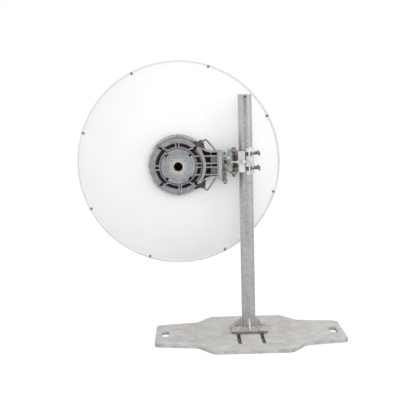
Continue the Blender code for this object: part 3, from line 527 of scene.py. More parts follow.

# Die-cast aluminium: an even satin grey, turned bright on the rim; painted shade darkens the deep pockets,
# the drilled holes and the ears.
CASTING = DieCast("die_cast_aluminium", "#9b999b", 0.42, 0.35, dark="#8e8c90", light="#a7a5a7")
HUB_FLANGE = DieCast("turned_hub_flange", "#a8a6a6", 0.38, 0.35, dark="#9f9d9d", light="#b2afae")
HUB_RIM = DieCast("turned_hub_rim", "#d2cecb", 0.36, 0.30, dark="#c6c2bf", light="#dedad7")
# Painted shade: near black on the walls of drilled holes.
HOLE_SHADE = Finish("drilled_hole_painted_shade", "#1a1619", 0.8)
# Painted shade: darker greys for the walls and floors deep in the pockets.
POCKET = DieCast("casting_pocket_floor_painted_shade", "#5f575d", 0.75, 0.0, dark="#534b51", light="#6b6369")
POCKET_WALL = DieCast("casting_pocket_wall_painted_shade", "#857d82", 0.6, 0.2, dark="#756d72", light="#948c91")
INNER_POCKET = Passivated("painted_arm_panel", "#6f7a76", 0.5, 0.15, tint="#7d8784", drift=0.02)
# Painted shade: the ears' faces outside the ring, dark as if in shadow.
EAR_SHADE = DieCast("casting_ear_painted_shade", "#4f484d", 0.55, 0.25, dark="#433c41", light="#5d565b")

# Plated steel and chromated aluminium: a thin metal sheen whose tint drifts over the piece.
HANDLE_BAR = Passivated("cast_carrying_handle", "#a3a0a0", 0.32, 0.5, tint="#85807f", drift=0.015)
PORT_SCREW = Passivated("zinc_plated_port_screw", "#aaa7a5", 0.38, 0.5, tint="#8f8c8a", drift=0.01)
CLIP = Passivated("stainless_rim_clip", "#9d9ea2", 0.35, 0.6, tint="#7f8086", drift=0.01)
BRIGHT_ZINC = Passivated("bright_zinc_plated_steel", "#e4e4e2", 0.32, 0.55, tint="#d2d3d6")
BOLT_ZINC = Passivated("zinc_flake_coated_bolt", "#a1988f", 0.38, 0.55, tint="#7d736c", drift=0.012)
BLUE_ZINC = Passivated("blue_passivated_steel", "#8b9aa0", 0.42, 0.45, tint="#9aa9a9")
YELLOW_ZINC = Passivated("yellow_passivated_steel", "#94837a", 0.45, 0.35, tint="#a59688", drift=0.02)
GOLD_ROD = Passivated("yellow_passivated_bolt", "#9b8a62", 0.38, 0.6, tint="#7a6a4e", drift=0.01)
END_PLATE = Passivated("chromated_end_channel", "#b3bab2", 0.40, 0.35, tint="#a9a4b4", drift=0.06)
OUTER_PORT = Passivated("chromated_outer_port_plate", "#9ca7b0", 0.34, 0.35, tint="#98a5a8")
INNER_PORT = Passivated("chromated_inner_port_plate", "#a9b3aa", 0.34, 0.35, tint="#b2b6ac")
BRIGHT_RING = Passivated("machined_port_ring", "#f0eeec", 0.25, 0.5, tint="#e2dfdd")
FEED_METAL = Passivated("drawn_feed_tube", "#96888d", 0.35, 0.5, tint="#86787d")

# Soft rubber, matt and even, and the paper under the stand.
SILICONE = Finish("salmon_silicone_seal", "#cda499", 0.55)
FLOOR = StudioFloor("pale_studio_floor", "#e6e6e6", 0.9)


def arc(centre: Point, radius: float, start: float, end: float, steps: int) -> Loop:
    """Points along a circle's arc.

    Args:
        centre: Middle of the circle.
        radius: Radius in metres.
        start: First angle in degrees.
        end: Last angle in degrees.
        steps: Number of stretches.

    Returns:
        The arc's points.
    """
    angles = [math.radians(start + (end - start) * k / steps) for k in range(steps + 1)]
    return [(centre[0] + radius * math.cos(t), centre[1] + radius * math.sin(t)) for t in angles]


def circle(centre: Point, radius: float, sides: int = 32) -> Loop:
    """Closed circle as a loop of points."""
    return arc(centre, radius, 0, 360 - 360 / sides, sides - 1)


def rounded_box(centre: Point, half: Point, corner: float, steps: int = 6) -> Loop:
    """Rectangle with rounded corners.

    Args:
        centre: Middle of the rectangle.
        half: Half its two sides.
        corner: Corner radius.
        steps: Stretches in each corner.

    Returns:
        Counter-clockwise points.
    """
    points: Loop = []
    for quarter, (a, b) in enumerate(((1, 1), (-1, 1), (-1, -1), (1, -1))):
        middle = (centre[0] + a * (half[0] - corner), centre[1] + b * (half[1] - corner))
        points += arc(middle, corner, 90 * quarter, 90 * quarter + 90, steps)
    return points


def rounded(
    points: Route, radius: float, closed: bool = True, steps: int = 4,
) -> list[Vector]:
    """Round every corner of a route or an outline.

    Args:
        points: Corners, in two or three coordinates.
        radius: Reach of each rounding along its two sides.
        closed: Whether the last corner joins the first.
        steps: Stretches in each rounding.

    Returns:
        Points of the rounded route.
    """
    corners = [Vector(point) for point in points]
    count = len(corners)
    route: list[Vector] = [] if closed else [corners[0]]
    for number in range(count) if closed else range(1, count - 1):
        before, corner, after = corners[number - 1], corners[number], corners[(number + 1) % count]
        reach = min(radius, *(0.45 * side.length for side in (corner - before, after - corner)))
        start = corner + (before - corner).normalized() * reach
        end = corner + (after - corner).normalized() * reach
        for k in range(steps + 1):
            t = k / steps
            route.append(start * (1 - t) ** 2 + corner * 2 * t * (1 - t) + end * t ** 2)
    return route if closed else route + [corners[-1]]


def rounded_loop(points: Loop, radius: float, steps: int = 3) -> Loop:
    """Outline with all its corners rounded."""
    return [(point.x, point.y) for point in rounded(points, radius, True, steps)]


def strip(start: Point, end: Point, width: float) -> Loop:
    """Corners of a straight rib between two points.

    Args:
        start: One end of its centre line.
        end: The other end.
        width: Its width.

    Returns:
        The rib's four corners.
    """
    along = Vector(end) - Vector(start)
    side = Vector((-along.y, along.x)).normalized() * width / 2
    ends = (Vector(start) + side, Vector(start) - side, Vector(end) - side, Vector(end) + side)
    return [(corner.x, corner.y) for corner in ends]


def off_axis(place: Vector) -> float:
    """Distance of a point from the antenna's axis."""
    return math.hypot(place.x - AXIS[0], place.z - AXIS[1])


def tube_section(radii: Point, ends: Point) -> Loop:
    """Section of a plain tube or disc between two radii and two ends."""
    (inner, outer), (low, high) = radii, ends
    return [(inner, low), (outer, low), (outer, high), (inner, high)]


def link_mesh(name: str, mesh: bpy.types.Mesh) -> Piece:
    """Put a mesh into the scene as an object at the origin.

    Args:
        name: Name of the object.
        mesh: Its mesh.

    Returns:
        The object.
    """
    thing = bpy.data.objects.new(name, mesh)
    bpy.context.scene.collection.objects.link(thing)
    return thing


def link_curve(
    name: str, routes: Sequence[Route], closed: bool, **settings: Any,
) -> Piece:
    """Put a curve of straight stretches into the scene.

    Args:
        name: Name of the curve.
        routes: Points of each spline, in two or three coordinates.
        closed: Whether each spline's end joins its start.
        **settings: Properties of the curve.

    Returns:
        The curve's object.
    """
    curve = bpy.data.curves.new(name, "CURVE")
    for key, value in settings.items():
        setattr(curve, key, value)
    for route in routes:
        spline = curve.splines.new("POLY")
        spline.points.add(len(route) - 1)
        for point, place in zip(spline.points, route):
            point.co = (*place, 0.0, 1.0) if len(place) == 2 else (*place, 1.0)
        spline.use_cyclic_u = closed
    thing = bpy.data.objects.new(name, curve)
    bpy.context.scene.collection.objects.link(thing)
    return thing


def settle(thing: Piece, name: str) -> Piece:
    """Replace an object by its plain evaluated mesh at the origin.

    Args:
        thing: Object with modifiers or a curve.
        name: Name of the new object.

    Returns:
        The plain mesh object.
    """
    bpy.context.view_layer.update()
    ready = thing.evaluated_get(bpy.context.evaluated_depsgraph_get())
    mesh = bpy.data.meshes.new_from_object(ready)
    mesh.transform(thing.matrix_world)
    bpy.data.objects.remove(thing)
    mesh.name = name
    return link_mesh(name, mesh)


def tidy_mesh(thing: Piece, flatten: bool = True) -> Piece:
    """Weld a piece and point its faces outwards.

    Args:
        thing: Mesh piece, which is changed.
        flatten: Whether flat neighbours become one face.

    Returns:
        The piece.
    """
    shape = bmesh.new()
    shape.from_mesh(thing.data)
    bmesh.ops.remove_doubles(shape, verts=shape.verts, dist=WELD_REACH)
    if flatten:
        bmesh.ops.dissolve_limit(
            shape, angle_limit=FLAT_ANGLE, verts=shape.verts, edges=shape.edges,
            use_dissolve_boundaries=False)
    bmesh.ops.recalc_face_normals(shape, faces=shape.faces)
    shape.to_mesh(thing.data)
    shape.free()
    return thing


def shade(thing: Piece, angle: float = SHARP) -> Piece:
    """Shade a piece smooth, with sharp edges past an angle.

    Args:
        thing: Mesh piece.
        angle: Bend that stays sharp, in radians.

    Returns:
        The piece.
    """
    thing.data.shade_smooth()
    thing.data.set_sharp_from_angle(angle=angle)
    return thing


def bevelled(
    thing: Piece, width: float, segments: int = 2, angle: float = SHARP,
) -> Piece:
    """Round a piece's sharp edges.

    Args:
        thing: Welded mesh piece.
        width: Width of the rounding in metres.
        segments: Faces across the rounding.
        angle: Edges sharper than this are rounded.

    Returns:
        The finished piece, under the same name.
    """
    name = thing.name
    modifier = thing.modifiers.new("edge", "BEVEL")
    modifier.width = width
    modifier.segments = segments
    modifier.limit_method = "ANGLE"
    modifier.angle_limit = angle
    modifier.use_clamp_overlap = True
    modifier.harden_normals = False
    thing.name = f"{name}_raw"
    return shade(settle(thing, name))


def extruded(
    name: str, loops: Sequence[Sequence[Point]], ends: Point, facing: Facing, edge: float = 0.0,
    segments: int = 2,
) -> Piece:
    """Flat outline with holes, given a thickness and rounded edges.

    Args:
        name: Name of the piece.
        loops: Outer outline and holes in the plane's own coordinates.
        ends: Low and high place along the axis.
        facing: Axis of the thickness.
        edge: Width of the edge rounding.
        segments: Faces across the rounding.

    Returns:
        The new piece.
    """
    thing = link_curve(
        f"{name}_outline", loops, True, dimensions="2D", fill_mode="BOTH", extrude=(ends[1] - ends[0]) / 2)
    thing.matrix_world = facing.frame((0, 0), (ends[0] + ends[1]) / 2)
    piece = tidy_mesh(settle(thing, name))
    return bevelled(piece, edge, segments) if edge else shade(piece)


def lathe(
    name: str, profile: Route, facing: Facing, centre: Point, steps: int = 96,
    rounding: float = 0.0,
) -> Piece:
    """Turn a closed profile of (radius, place along the axis) round an axis.

    Args:
        name: Name of the piece.
        profile: Corners of the section.
        facing: Axis of the turning.
        centre: Where the axis crosses its plane.
        steps: Faces round the piece.
        rounding: Reach of the rounding at the section's corners.

    Returns:
        The new piece.
    """
    section = [(point[0], point[1]) for point in (rounded(profile, rounding) if rounding else profile)]
    shape = bmesh.new()
    rings = []
    for step in range(steps):
        turn = 2 * math.pi * step / steps
        rings.append([shape.verts.new((r * math.cos(turn), r * math.sin(turn), h)) for r, h in section])
    for step, ring in enumerate(rings):
        following = rings[(step + 1) % steps]
        for k in range(len(section)):
            n = (k + 1) % len(section)
            shape.faces.new((ring[k], following[k], following[n], ring[n]))
    bmesh.ops.remove_doubles(shape, verts=shape.verts, dist=POLE_REACH)
    bmesh.ops.dissolve_degenerate(shape, edges=shape.edges, dist=POLE_REACH)
    flip = MIRROR if facing is Facing.Y else Matrix.Identity(4)
    bmesh.ops.transform(shape, verts=shape.verts, matrix=facing.frame(centre, 0.0) @ flip)
    bmesh.ops.recalc_face_normals(shape, faces=shape.faces)
    mesh = bpy.data.meshes.new(name)
    shape.to_mesh(mesh)
    shape.free()
    return shade(link_mesh(name, mesh), TURNED_SHARP)


def swept(name: str, route: Route, radius: float, sides: int = 16) -> Piece:
    """Round bar along a route, with closed ends.

    Args:
        name: Name of the piece.
        route: Points of its centre line.
        radius: Radius of the bar.
        sides: Faces round the bar.

    Returns:
        The new piece.
    """
    thing = link_curve(
        f"{name}_route", [route], False, dimensions="3D", bevel_depth=radius, bevel_resolution=sides // 2 - 2,
        use_fill_caps=True)
    return shade(tidy_mesh(settle(thing, name), flatten=False), BAR_SHARP)


def combine(target: Piece, tools: Sequence[Piece], operation: str) -> Piece:
    """Join tools to a piece, or cut them out of it, and remove them.

    Args:
        target: Piece that is changed.
        tools: Closed pieces.
        operation: UNION or DIFFERENCE.

    Returns:
        The changed piece, under the same name.
    """
    name = target.name
    for tool in tools:
        modifier = target.modifiers.new(tool.name, "BOOLEAN")
        modifier.operation = operation
        modifier.solver = "EXACT"
        modifier.object = tool
    target.name = f"{name}_raw"
    result = settle(target, name)
    for tool in tools:
        bpy.data.objects.remove(tool)
    return tidy_mesh(result)


def gathered(name: str, things: Sequence[Piece]) -> Piece:
    """Put several plain meshes into one object.

    Args:
        name: Name of the new piece.
        things: Mesh objects at the origin.

    Returns:
        One object that holds all of them with their materials.
    """
    shape = bmesh.new()
    materials: list[bpy.types.Material] = []
    for thing in things:
        slots = []
        for slot in thing.data.materials:
            if slot not in materials:
                materials.append(slot)
            slots.append(materials.index(slot))
        start = len(shape.faces)
        shape.from_mesh(thing.data)
        shape.faces.ensure_lookup_table()
        if slots:
            for face in shape.faces[start:]:
                face.material_index = slots[face.material_index]
    mesh = bpy.data.meshes.new(name)
    shape.to_mesh(mesh)
    shape.free()
    for material in materials:
        mesh.materials.append(material)
    for thing in things:
        bpy.data.objects.remove(thing)
    return shade(link_mesh(name, mesh))


def refined_copy(node: str, edge: float, segments: int = 2) -> Piece:
    """Welded copy of a plain node with rounded edges.

    Args:
        node: Node that is copied.
        edge: Width of the edge rounding.
        segments: Faces across the rounding.

    Returns:
        The new piece.
    """
    thing = link_mesh(f"dressed_{node}", FRAME["nodes"][node].data.copy())
    thing.data.materials.clear()
    return bevelled(tidy_mesh(thing), edge, segments)


def paint(thing: Piece, finish: Finish) -> Piece:
    """Give a whole piece one finish.

    Args:
        thing: Mesh piece.
        finish: Its finish.

    Returns:
        The piece.
    """
    thing.data.materials.clear()
    thing.data.materials.append(finish.material())
    for face in thing.data.polygons:
        face.material_index = 0
    return thing


def paint_where(
    thing: Piece, finish: Finish, test: Callable[[Any], bool],
) -> Piece:
    """Give the faces that pass a test a second finish.

    Args:
        thing: Painted piece.
        finish: Finish of the chosen faces.
        test: Takes a face and says whether it is chosen.

    Returns:
        The piece.
    """
    thing.data.materials.append(finish.material())
    index = len(thing.data.materials) - 1
    for face in thing.data.polygons:
        if test(face):
            face.material_index = index
    return thing


def install(piece: Piece, body: Body, nodes: Sequence[str] = ()) -> None:
    """Hand a finished piece to the frame and report it.

    Args:
        piece: Painted mesh at the origin.
        body: Body that it rides on.
        nodes: Plain nodes that it stands for.
    """
    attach(piece, body.value)
    if nodes:
        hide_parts(*nodes)
    LOG.info("%s: %d faces on %s", piece.name, len(piece.data.polygons), body.value)


class GeometryTree:
    """A Geometry Nodes tree with named inputs that ends in plain geometry with one material."""

    def __init__(self, name: str) -> None:
        """Start an empty tree.

        Args:
            name: Name of the tree.
        """
        self.group = bpy.data.node_groups.new(name, "GeometryNodeTree")
        self.group.interface.new_socket("Geometry", in_out="INPUT", socket_type="NodeSocketGeometry")
        self.group.interface.new_socket("Geometry", in_out="OUTPUT", socket_type="NodeSocketGeometry")
        self.identifiers: dict[str, str] = {}
        self.start = self.group.nodes.new("NodeGroupInput")

    def size(self, name: str, kind: str = "NodeSocketFloat") -> Any:
        """Add a named input.

        Args:
            name: Name of the input.
            kind: Socket type.

        Returns:
            The input's socket inside the tree.
        """
        socket = self.group.interface.new_socket(name, in_out="INPUT", socket_type=kind)
        self.identifiers[name] = socket.identifier
        return self.start.outputs[name]

    def add(self, kind: str, links: dict[Any, Any] | None = None, **settings: Any) -> Any:
        """Add a node to the tree and give its first output."""
        return add_node(self.group, kind, links, **settings).outputs[0]

    def close(self, geometry: Any, finish: Finish) -> None:
        """Realize the geometry, give it its material and end the tree.

        Args:
            geometry: Socket of the finished geometry.
            finish: Finish of all its faces.
        """
        plain = self.add("GeometryNodeRealizeInstances", {0: geometry})
        dressed = self.add("GeometryNodeSetMaterial", {"Geometry": plain, "Material": finish.material()})
        end = self.group.nodes.new("NodeGroupOutput")
        self.group.links.new(dressed, end.inputs[0])

    def grow(
        self, name: str, values: dict[str, Any], carrier: Piece | None = None,
    ) -> Piece:
        """Run the tree once and keep the result as a plain mesh.

        Args:
            name: Name of the piece.
            values: Named inputs and their values.
            carrier: Object that holds the tree's starting geometry.

        Returns:
            The plain piece at the origin.
        """
        holder = carrier or link_mesh(f"{name}_seed", bpy.data.meshes.new(f"{name}_seed"))
        modifier = holder.modifiers.new("grow", "NODES")
        modifier.node_group = self.group
        for key, value in values.items():
            modifier[self.identifiers[key]] = value
        return settle(holder, name)


def thread_tree(finish: Finish) -> GeometryTree:
    """Threaded rod along Z: a bar whose radius steps between crest and root at every pitch.

    Args:
        finish: Finish of its faces.

    Returns:
        The tree.
    """
    tree = GeometryTree(f"threaded_rod_{finish.name}")
    radius, length, pitch, depth = (tree.size(name) for name in ("Radius", "Length", "Pitch", "Depth"))
    turns = tree.add(MATH, {0: length, 1: pitch}, operation="DIVIDE")
    count = tree.add(MATH, {0: turns, 1: 2.0}, operation="MULTIPLY")
    nearest = tree.add(MATH, {0: count}, operation="ROUND")
    whole = tree.add(MATH, {0: nearest, 1: 2.0}, operation="MAXIMUM")
    line = tree.add("GeometryNodeCurvePrimitiveLine", {"End": tree.add("ShaderNodeCombineXYZ", {2: length})})
    rings = tree.add("GeometryNodeResampleCurve", {"Curve": line, "Count": whole})
    odd = tree.add(MATH, {0: tree.add("GeometryNodeInputIndex"), 1: 2.0}, operation="MODULO")
    share = tree.add(MATH, {0: depth, 1: radius}, operation="DIVIDE")
    cut = tree.add(MATH, {0: odd, 1: share}, operation="MULTIPLY")
    thickness = tree.add(MATH, {0: 1.0, 1: cut}, operation="SUBTRACT")
    sized = tree.add("GeometryNodeSetCurveRadius", {"Curve": rings, "Radius": thickness})
    section = tree.add("GeometryNodeCurvePrimitiveCircle", {"Resolution": 20, "Radius": radius})
    bar = tree.add("GeometryNodeCurveToMesh", {
        "Curve": sized, "Profile Curve": section, "Scale": tree.add("GeometryNodeInputRadius"),
        "Fill Caps": True})
    tree.close(bar, finish)
    return tree


def weld_tree(finish: Finish) -> GeometryTree:
    """Weld bead along a curve, with the ripples of its passes.

    Args:
        finish: Finish of its faces.

    Returns:
        The tree.
    """
    tree = GeometryTree(f"weld_bead_{finish.name}")
    radius, ripple, step = tree.size("Radius"), tree.size("Ripple"), tree.size("Step")
    path = tree.add("GeometryNodeResampleCurve", {
        "Curve": tree.start.outputs[0], "Length": step}, mode="LENGTH")
    section = tree.add("GeometryNodeCurvePrimitiveCircle", {"Resolution": 10, "Radius": radius})
    bead = tree.add("GeometryNodeCurveToMesh", {"Curve": path, "Profile Curve": section, "Fill Caps": True})
    noise = tree.add("ShaderNodeTexNoise", {"Scale": 260.0, "Detail": 1.0})
    middle = tree.add(MATH, {0: noise, 1: 0.5}, operation="SUBTRACT")
    lift = tree.add(MATH, {0: middle, 1: ripple}, operation="MULTIPLY")
    push = tree.add(VECTOR_MATH, {
        0: tree.add("GeometryNodeInputNormal"), "Scale": lift}, operation="SCALE")
    moved = tree.add("GeometryNodeSetPosition", {"Geometry": bead, "Offset": push})
    tree.close(tree.add("GeometryNodeSetShadeSmooth", {"Geometry": moved}), finish)
    return tree


def round_array_tree(name: str, finish: Finish) -> GeometryTree:
    """Copies of the carried piece on a circle round Z, each turned to face outwards.

    Args:
        name: Name of what the tree sets out.
        finish: Finish of the copies.

    Returns:
        The tree.
    """
    tree = GeometryTree(f"{name}_{finish.name}")
    radius, start, count = tree.size("Radius"), tree.size("First angle"), tree.size("Count", "NodeSocketInt")
    ring = tree.add("GeometryNodeMeshCircle", {"Vertices": count, "Radius": radius})
    step = tree.add(MATH, {0: 2 * math.pi, 1: count}, operation="DIVIDE")
    swing = tree.add(MATH, {0: tree.add("GeometryNodeInputIndex"), 1: step}, operation="MULTIPLY")
    turn = tree.add(MATH, {0: swing, 1: start}, operation="ADD")
    across = [
        tree.add(MATH, {
            0: tree.add(MATH, {0: turn}, operation=wave), 1: radius}, operation="MULTIPLY")
        for wave in ("COSINE", "SINE")]
    place = tree.add("ShaderNodeCombineXYZ", dict(enumerate(across)))
    moved = tree.add("GeometryNodeSetPosition", {"Geometry": ring, "Position": place})
    copies = tree.add("GeometryNodeInstanceOnPoints", {
        "Points": moved, "Instance": tree.start.outputs[0],
        "Rotation": tree.add("ShaderNodeCombineXYZ", {2: turn})})
    tree.close(copies, finish)
    return tree


def install_ring(
    name: str, seed: Piece, finish: Finish, sizes: tuple[float, float, int],
    along: float,
) -> None:
    """Set copies of a small piece on a circle round the antenna's axis and hand them in as one piece.

    Args:
        name: Name of the new piece.
        seed: Small piece at the origin, which is used up.
        finish: Its finish.
        sizes: The circle's radius, the first copy's angle in radians and the number of copies.
        along: Place of the copies' origin along Y.
    """
    values = dict(zip(("Radius", "First angle", "Count"), sizes))
    ring = round_array_tree(name, finish).grow(name, values, seed)
    ring.data.transform(Facing.Y.frame(AXIS, along))
    install(shade(ring), Body.ANTENNA)


@dataclass(frozen=True)
class Thread:
    """Metric thread with the width across flats of its nut."""

    radius: float
    pitch: float
    across: float


# Usual sizes. The galvanised thread is a little coarser, because zinc fills it.
M8 = Thread(0.004, 0.00125, 0.013)
M10 = Thread(0.005, 0.0015, 0.017)
M12 = Thread(0.006, 0.00175, 0.019)
M12_GALVANISED = Thread(0.006, 0.0018, 0.019)


@dataclass
class BoltSet:
    """Threads, nuts and washers on one axis, gathered into one piece."""

    facing: Facing
    centre: Point
    finish: Finish
    size: Thread = M10
    parts: list[Piece] = field(default_factory=list)
    trees: ClassVar[dict[str, GeometryTree]] = {}

    def add(self, part: Piece, along: float) -> None:
        """Set a part that was made along Z on the axis, and keep it.

        Args:
            part: Mesh piece at the origin.
            along: Place of its origin along the axis.
        """
        part.data.transform(self.facing.frame(self.centre, along))
        self.parts.append(part)

    def thread(self, ends: Point, finish: Finish | None = None) -> None:
        """Add a threaded bar between two ends.

        Args:
            ends: Low and high end along the axis.
            finish: Its finish, if it isn't the set's.
        """
        finish = finish or self.finish
        if finish.name not in self.trees:
            self.trees[finish.name] = thread_tree(finish)
        bar = self.trees[finish.name].grow("threaded_bar", {
            "Radius": self.size.radius, "Length": ends[1] - ends[0], "Pitch": self.size.pitch,
            "Depth": self.size.pitch * 0.45})
        self.add(shade(tidy_mesh(bar, flatten=False), THREAD_SHARP), ends[0])

    def nut(
        self, ends: Point, spin: float = 0.0, across: float | None = None, finish: Finish | None = None,
    ) -> None:
        """Add a nut or bolt head with turned corners.

        Args:
            ends: Low and high end along the axis.
            spin: Turn round the axis in degrees.
            across: Width across flats, if it isn't the thread's usual one.
            finish: Its finish, if it isn't the set's.
        """
        across = across or self.size.across
        corner, height = across / math.sqrt(3), ends[1] - ends[0]
        nut = extruded("nut_blank", [arc((0, 0), corner, spin, spin + 300, 5)], (0.0, height), Facing.Z)
        cap = corner - across / 2
        inner, outer, slope = corner - cap * 0.9, corner + 0.0002, cap * 0.62
        cone = [(0.0, 0.0), (inner, 0.0), (outer, slope), (outer, height - slope), (inner, height),
                (0.0, height)]
        nut = combine(nut, [lathe("nut_turning", cone, Facing.Z, (0, 0), 36)], "INTERSECT")
        self.add(paint(shade(nut, NUT_SHARP), finish or self.finish), ends[0])

    def washer(self, radii: Point, ends: Point) -> None:
        """Add a flat washer with rounded edges.

        Args:
            radii: Inner and outer radius.
            ends: Low and high end along the axis.
        """
        ring = lathe("washer", tube_section(radii, ends), self.facing, self.centre, 40, 0.0004)
        self.parts.append(paint(ring, self.finish))

    def install(self, name: str, body: Body, slot: str, node: str) -> None:
        """Gather the set and hand it in.

        Args:
            name: Name of the piece.
            body: Body that it rides on.
            node: Plain node that it stands for.
        """
        install(gathered(name, self.parts), body, [node])


@dataclass
class FloorPlate:
    """Thick plate cut to a wide middle and narrow ends, with hand holes and two long slots."""

    centre_y: float = -0.034
    end_depth: float = 0.170
    shoulder_depth: float = 0.196
    middle_x: float = 0.150
    shoulder_x: float = 0.246
    corner: float = 0.030
    hand_hole_x: float = 0.371
    hand_hole_half: Point = (0.0165, 0.051)
    slot_x: float = 0.051
    slot_half_width: float = 0.008
    slot_ends: Point = (-0.240, 0.170)
    groove_half_width: float = 0.0125
    groove_depth: float = 0.0085
    groove_overrun: float = 0.004
    edge: float = 0.0016

    def outline(self, half_length: float, middle_depth: float) -> Loop:
        """Outer edge of the plate.

        Args:
            half_length: Half the plate's length.
            middle_depth: Half the plate's depth in the middle.

        Returns:
            Closed outline.
        """
        half = arc((half_length - self.corner, self.end_depth - self.corner), self.corner, 0, 90, 12)
        steps = 24
        for k in range(steps + 1):
            t = 1 - k / steps
            depth = middle_depth + (self.shoulder_depth - middle_depth) * t * t * (3 - 2 * t)
            half.append((self.middle_x + (self.shoulder_x - self.middle_x) * t, depth))
        back = half + [(-x, y) for x, y in reversed(half)]
        front = [(-x, -y) for x, y in back]
        return [(x, y + self.centre_y) for x, y in back + front]

    def build(self) -> None:
        """Make the plate and give its cut edges their own finish."""
        low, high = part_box("base_plate")
        loops = [self.outline(high[0], (high[1] - low[1]) / 2)]
        middle, half = sum(self.slot_ends) / 2, (self.slot_ends[1] - self.slot_ends[0]) / 2
        grooves = []
        for side in (-1, 1):
            hole, slot = (side * self.hand_hole_x, self.centre_y), (side * self.slot_x, middle)
            loops.append(rounded_box(hole, self.hand_hole_half, self.hand_hole_half[0] - 0.0005, 10))
            loops.append(rounded_box(
                slot, (self.slot_half_width, half), self.slot_half_width - 0.0003, 8))
            groove = rounded_box(slot, (self.groove_half_width, half + self.groove_overrun), 0.006)
            grooves.append(extruded("bolt_groove", [groove], (-0.005, self.groove_depth), Facing.Z))
        plate = extruded("dressed_base_plate", loops, (0.0, high[2]), Facing.Z)
        plate = bevelled(combine(plate, grooves, "DIFFERENCE"), self.edge, 3)
        paint(plate, PLATE_ZINC)
        paint_where(plate, PLATE_EDGE, lambda face: abs(face.normal.z) < 0.6)
        install(plate, Body.STAND, ["base_plate"])


@dataclass
class PoleFoot:
    """Square flange on its packing plate, with gussets, welds and four bolts."""

    corner: float = 0.012
    bolt_x: float = 0.051
    bolt_y: float = 0.058
    hole_radius: float = 0.0068
    pole_radius: float = 0.03015
    gusset_reach: float = 0.068
    gusset_height: float = 0.048
    gusset_side: float = 0.0042
    gusset_face: float = 0.0003
    weld_radius: float = 0.0026
    weld_ripple: float = 0.0016
    weld_step: float = 0.0012

    def build(self) -> None:
        """Make the plates, gussets, welds and bolts."""
        places = [(x * self.bolt_x, y * self.bolt_y) for y in (-1, 1) for x in (-1, 1)]
        for node in ("flange_packing_plate", "pole_flange"):
            low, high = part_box(node)
            loops = [rounded_box((0, 0), (high[0], high[1]), self.corner, 8)]
            loops += [circle(place, self.hole_radius, 24) for place in places]
            piece = extruded(f"dressed_{node}", loops, (low[2], high[2]), Facing.Z, 0.0012, 3)
            # Side faces of both plates get the painted shade.
            paint_where(paint(piece, FLANGE_ZINC), FLANGE_SIDE_SHADE, lambda face: abs(face.normal.z) < 0.4)
            install(piece, Body.STAND, [node])
        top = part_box("pole_flange")[1][2]
        for label in ("left", "right", "front", "back"):
            node = f"pole_gusset_{label}"
            # Narrow faces keep the brighter weld zinc, a painted highlight along the gusset's edges; the
            # large faces take the gusset zinc.
            piece = paint(refined_copy(node, 0.0009), WELD_AND_EDGE_HIGHLIGHT_ZINC)
            paint_where(piece, GUSSET_ZINC, lambda face: face.area > self.gusset_face)
            install(piece, Body.STAND, [node])
        self.welds(top)
        self.bolts(places, top)

    def welds(self, top: float) -> None:
        """Weld beads round the pole's foot and along each gusset.

        Args:
            top: Height of the flange's upper face.
        """
        tree, inside = weld_tree(WELD_AND_EDGE_HIGHLIGHT_ZINC), self.pole_radius
        routes: list[Sequence[Place]] = [
            [(x, y, top + 0.0018) for x, y in circle((0, 0), inside + 0.0016, 48)]]
        corner = [(self.gusset_reach - 0.002, 0.0012), (inside + 0.0045, 0.0018), (inside + 0.0014, 0.006),
                  (inside + 0.0012, self.gusset_height - 0.002)]
        for angle in (0, 90, 180, 270):
            turn = Matrix.Rotation(math.radians(angle), 3, "Z")
            routes += [[tuple(turn @ Vector((x, side, top + z))) for x, z in corner]
                       for side in (-self.gusset_side, self.gusset_side)]
        sizes = {"Radius": self.weld_radius, "Ripple": self.weld_ripple, "Step": self.weld_step}
        beads = [
            tree.grow(f"weld_{number}", sizes, link_curve(
                f"weld_path_{number}", [route], number == 0, dimensions="3D"))
            for number, route in enumerate(routes)]
        install(gathered("foot_welds", beads), Body.STAND)

    def bolts(self, places: Sequence[Point], top: float) -> None:
        """Four studs with their heads in the grooves, washers and nuts.

        Args:
            places: Bolt centres.
            top: Height of the flange's upper face.
        """
        seat = top + SEAT
        for number, place in enumerate(places, start=1):
            low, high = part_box(f"flange_bolt_{number}")
            stud = BoltSet(Facing.Z, place, FLANGE_ZINC, M12_GALVANISED)
            stud.thread((low[2] + 0.005, high[2] - 0.0004))
            stud.nut((low[2], low[2] + 0.007), across=0.020)
            stud.washer((0.0062, 0.0124), (seat, seat + 0.0025))
            stud.nut((seat + 0.0026, seat + 0.011), 20.0 * number)
            stud.install(f"dressed_flange_bolt_{number}", Body.STAND, "galvanised_steel",
                         f"flange_bolt_{number}")


@dataclass
class Pole:
    """Galvanised tube with a vent hole and a welded cap."""

    wall: float = 0.0032
    vent_radius: float = 0.004
    vent_height: float = 1.048

    def build(self) -> None:
        """Make the tube and its cap."""
        low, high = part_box("pole_tube")
        radius = high[0]
        section = tube_section((radius - self.wall, radius), (low[2], high[2]))
        tube = lathe("dressed_pole_tube", section, Facing.Z, (0, 0), 96)
        vent = extruded("vent", [circle((0.0, self.vent_height), self.vent_radius, 32)],
                        (-radius - 0.01, -radius + 2 * self.wall), Facing.Y)
        tube = shade(combine(tube, [vent], "DIFFERENCE"))
        install(paint(tube, POLE_ZINC), Body.STAND, ["pole_tube"])
        low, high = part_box("pole_cap")
        section = tube_section((0.0, radius), (low[2], high[2]))
        cap = lathe("dressed_pole_cap", section, Facing.Z, (0, 0), 96, 0.001)
        install(paint(cap, FLANGE_ZINC), Body.STAND, ["pole_cap"])


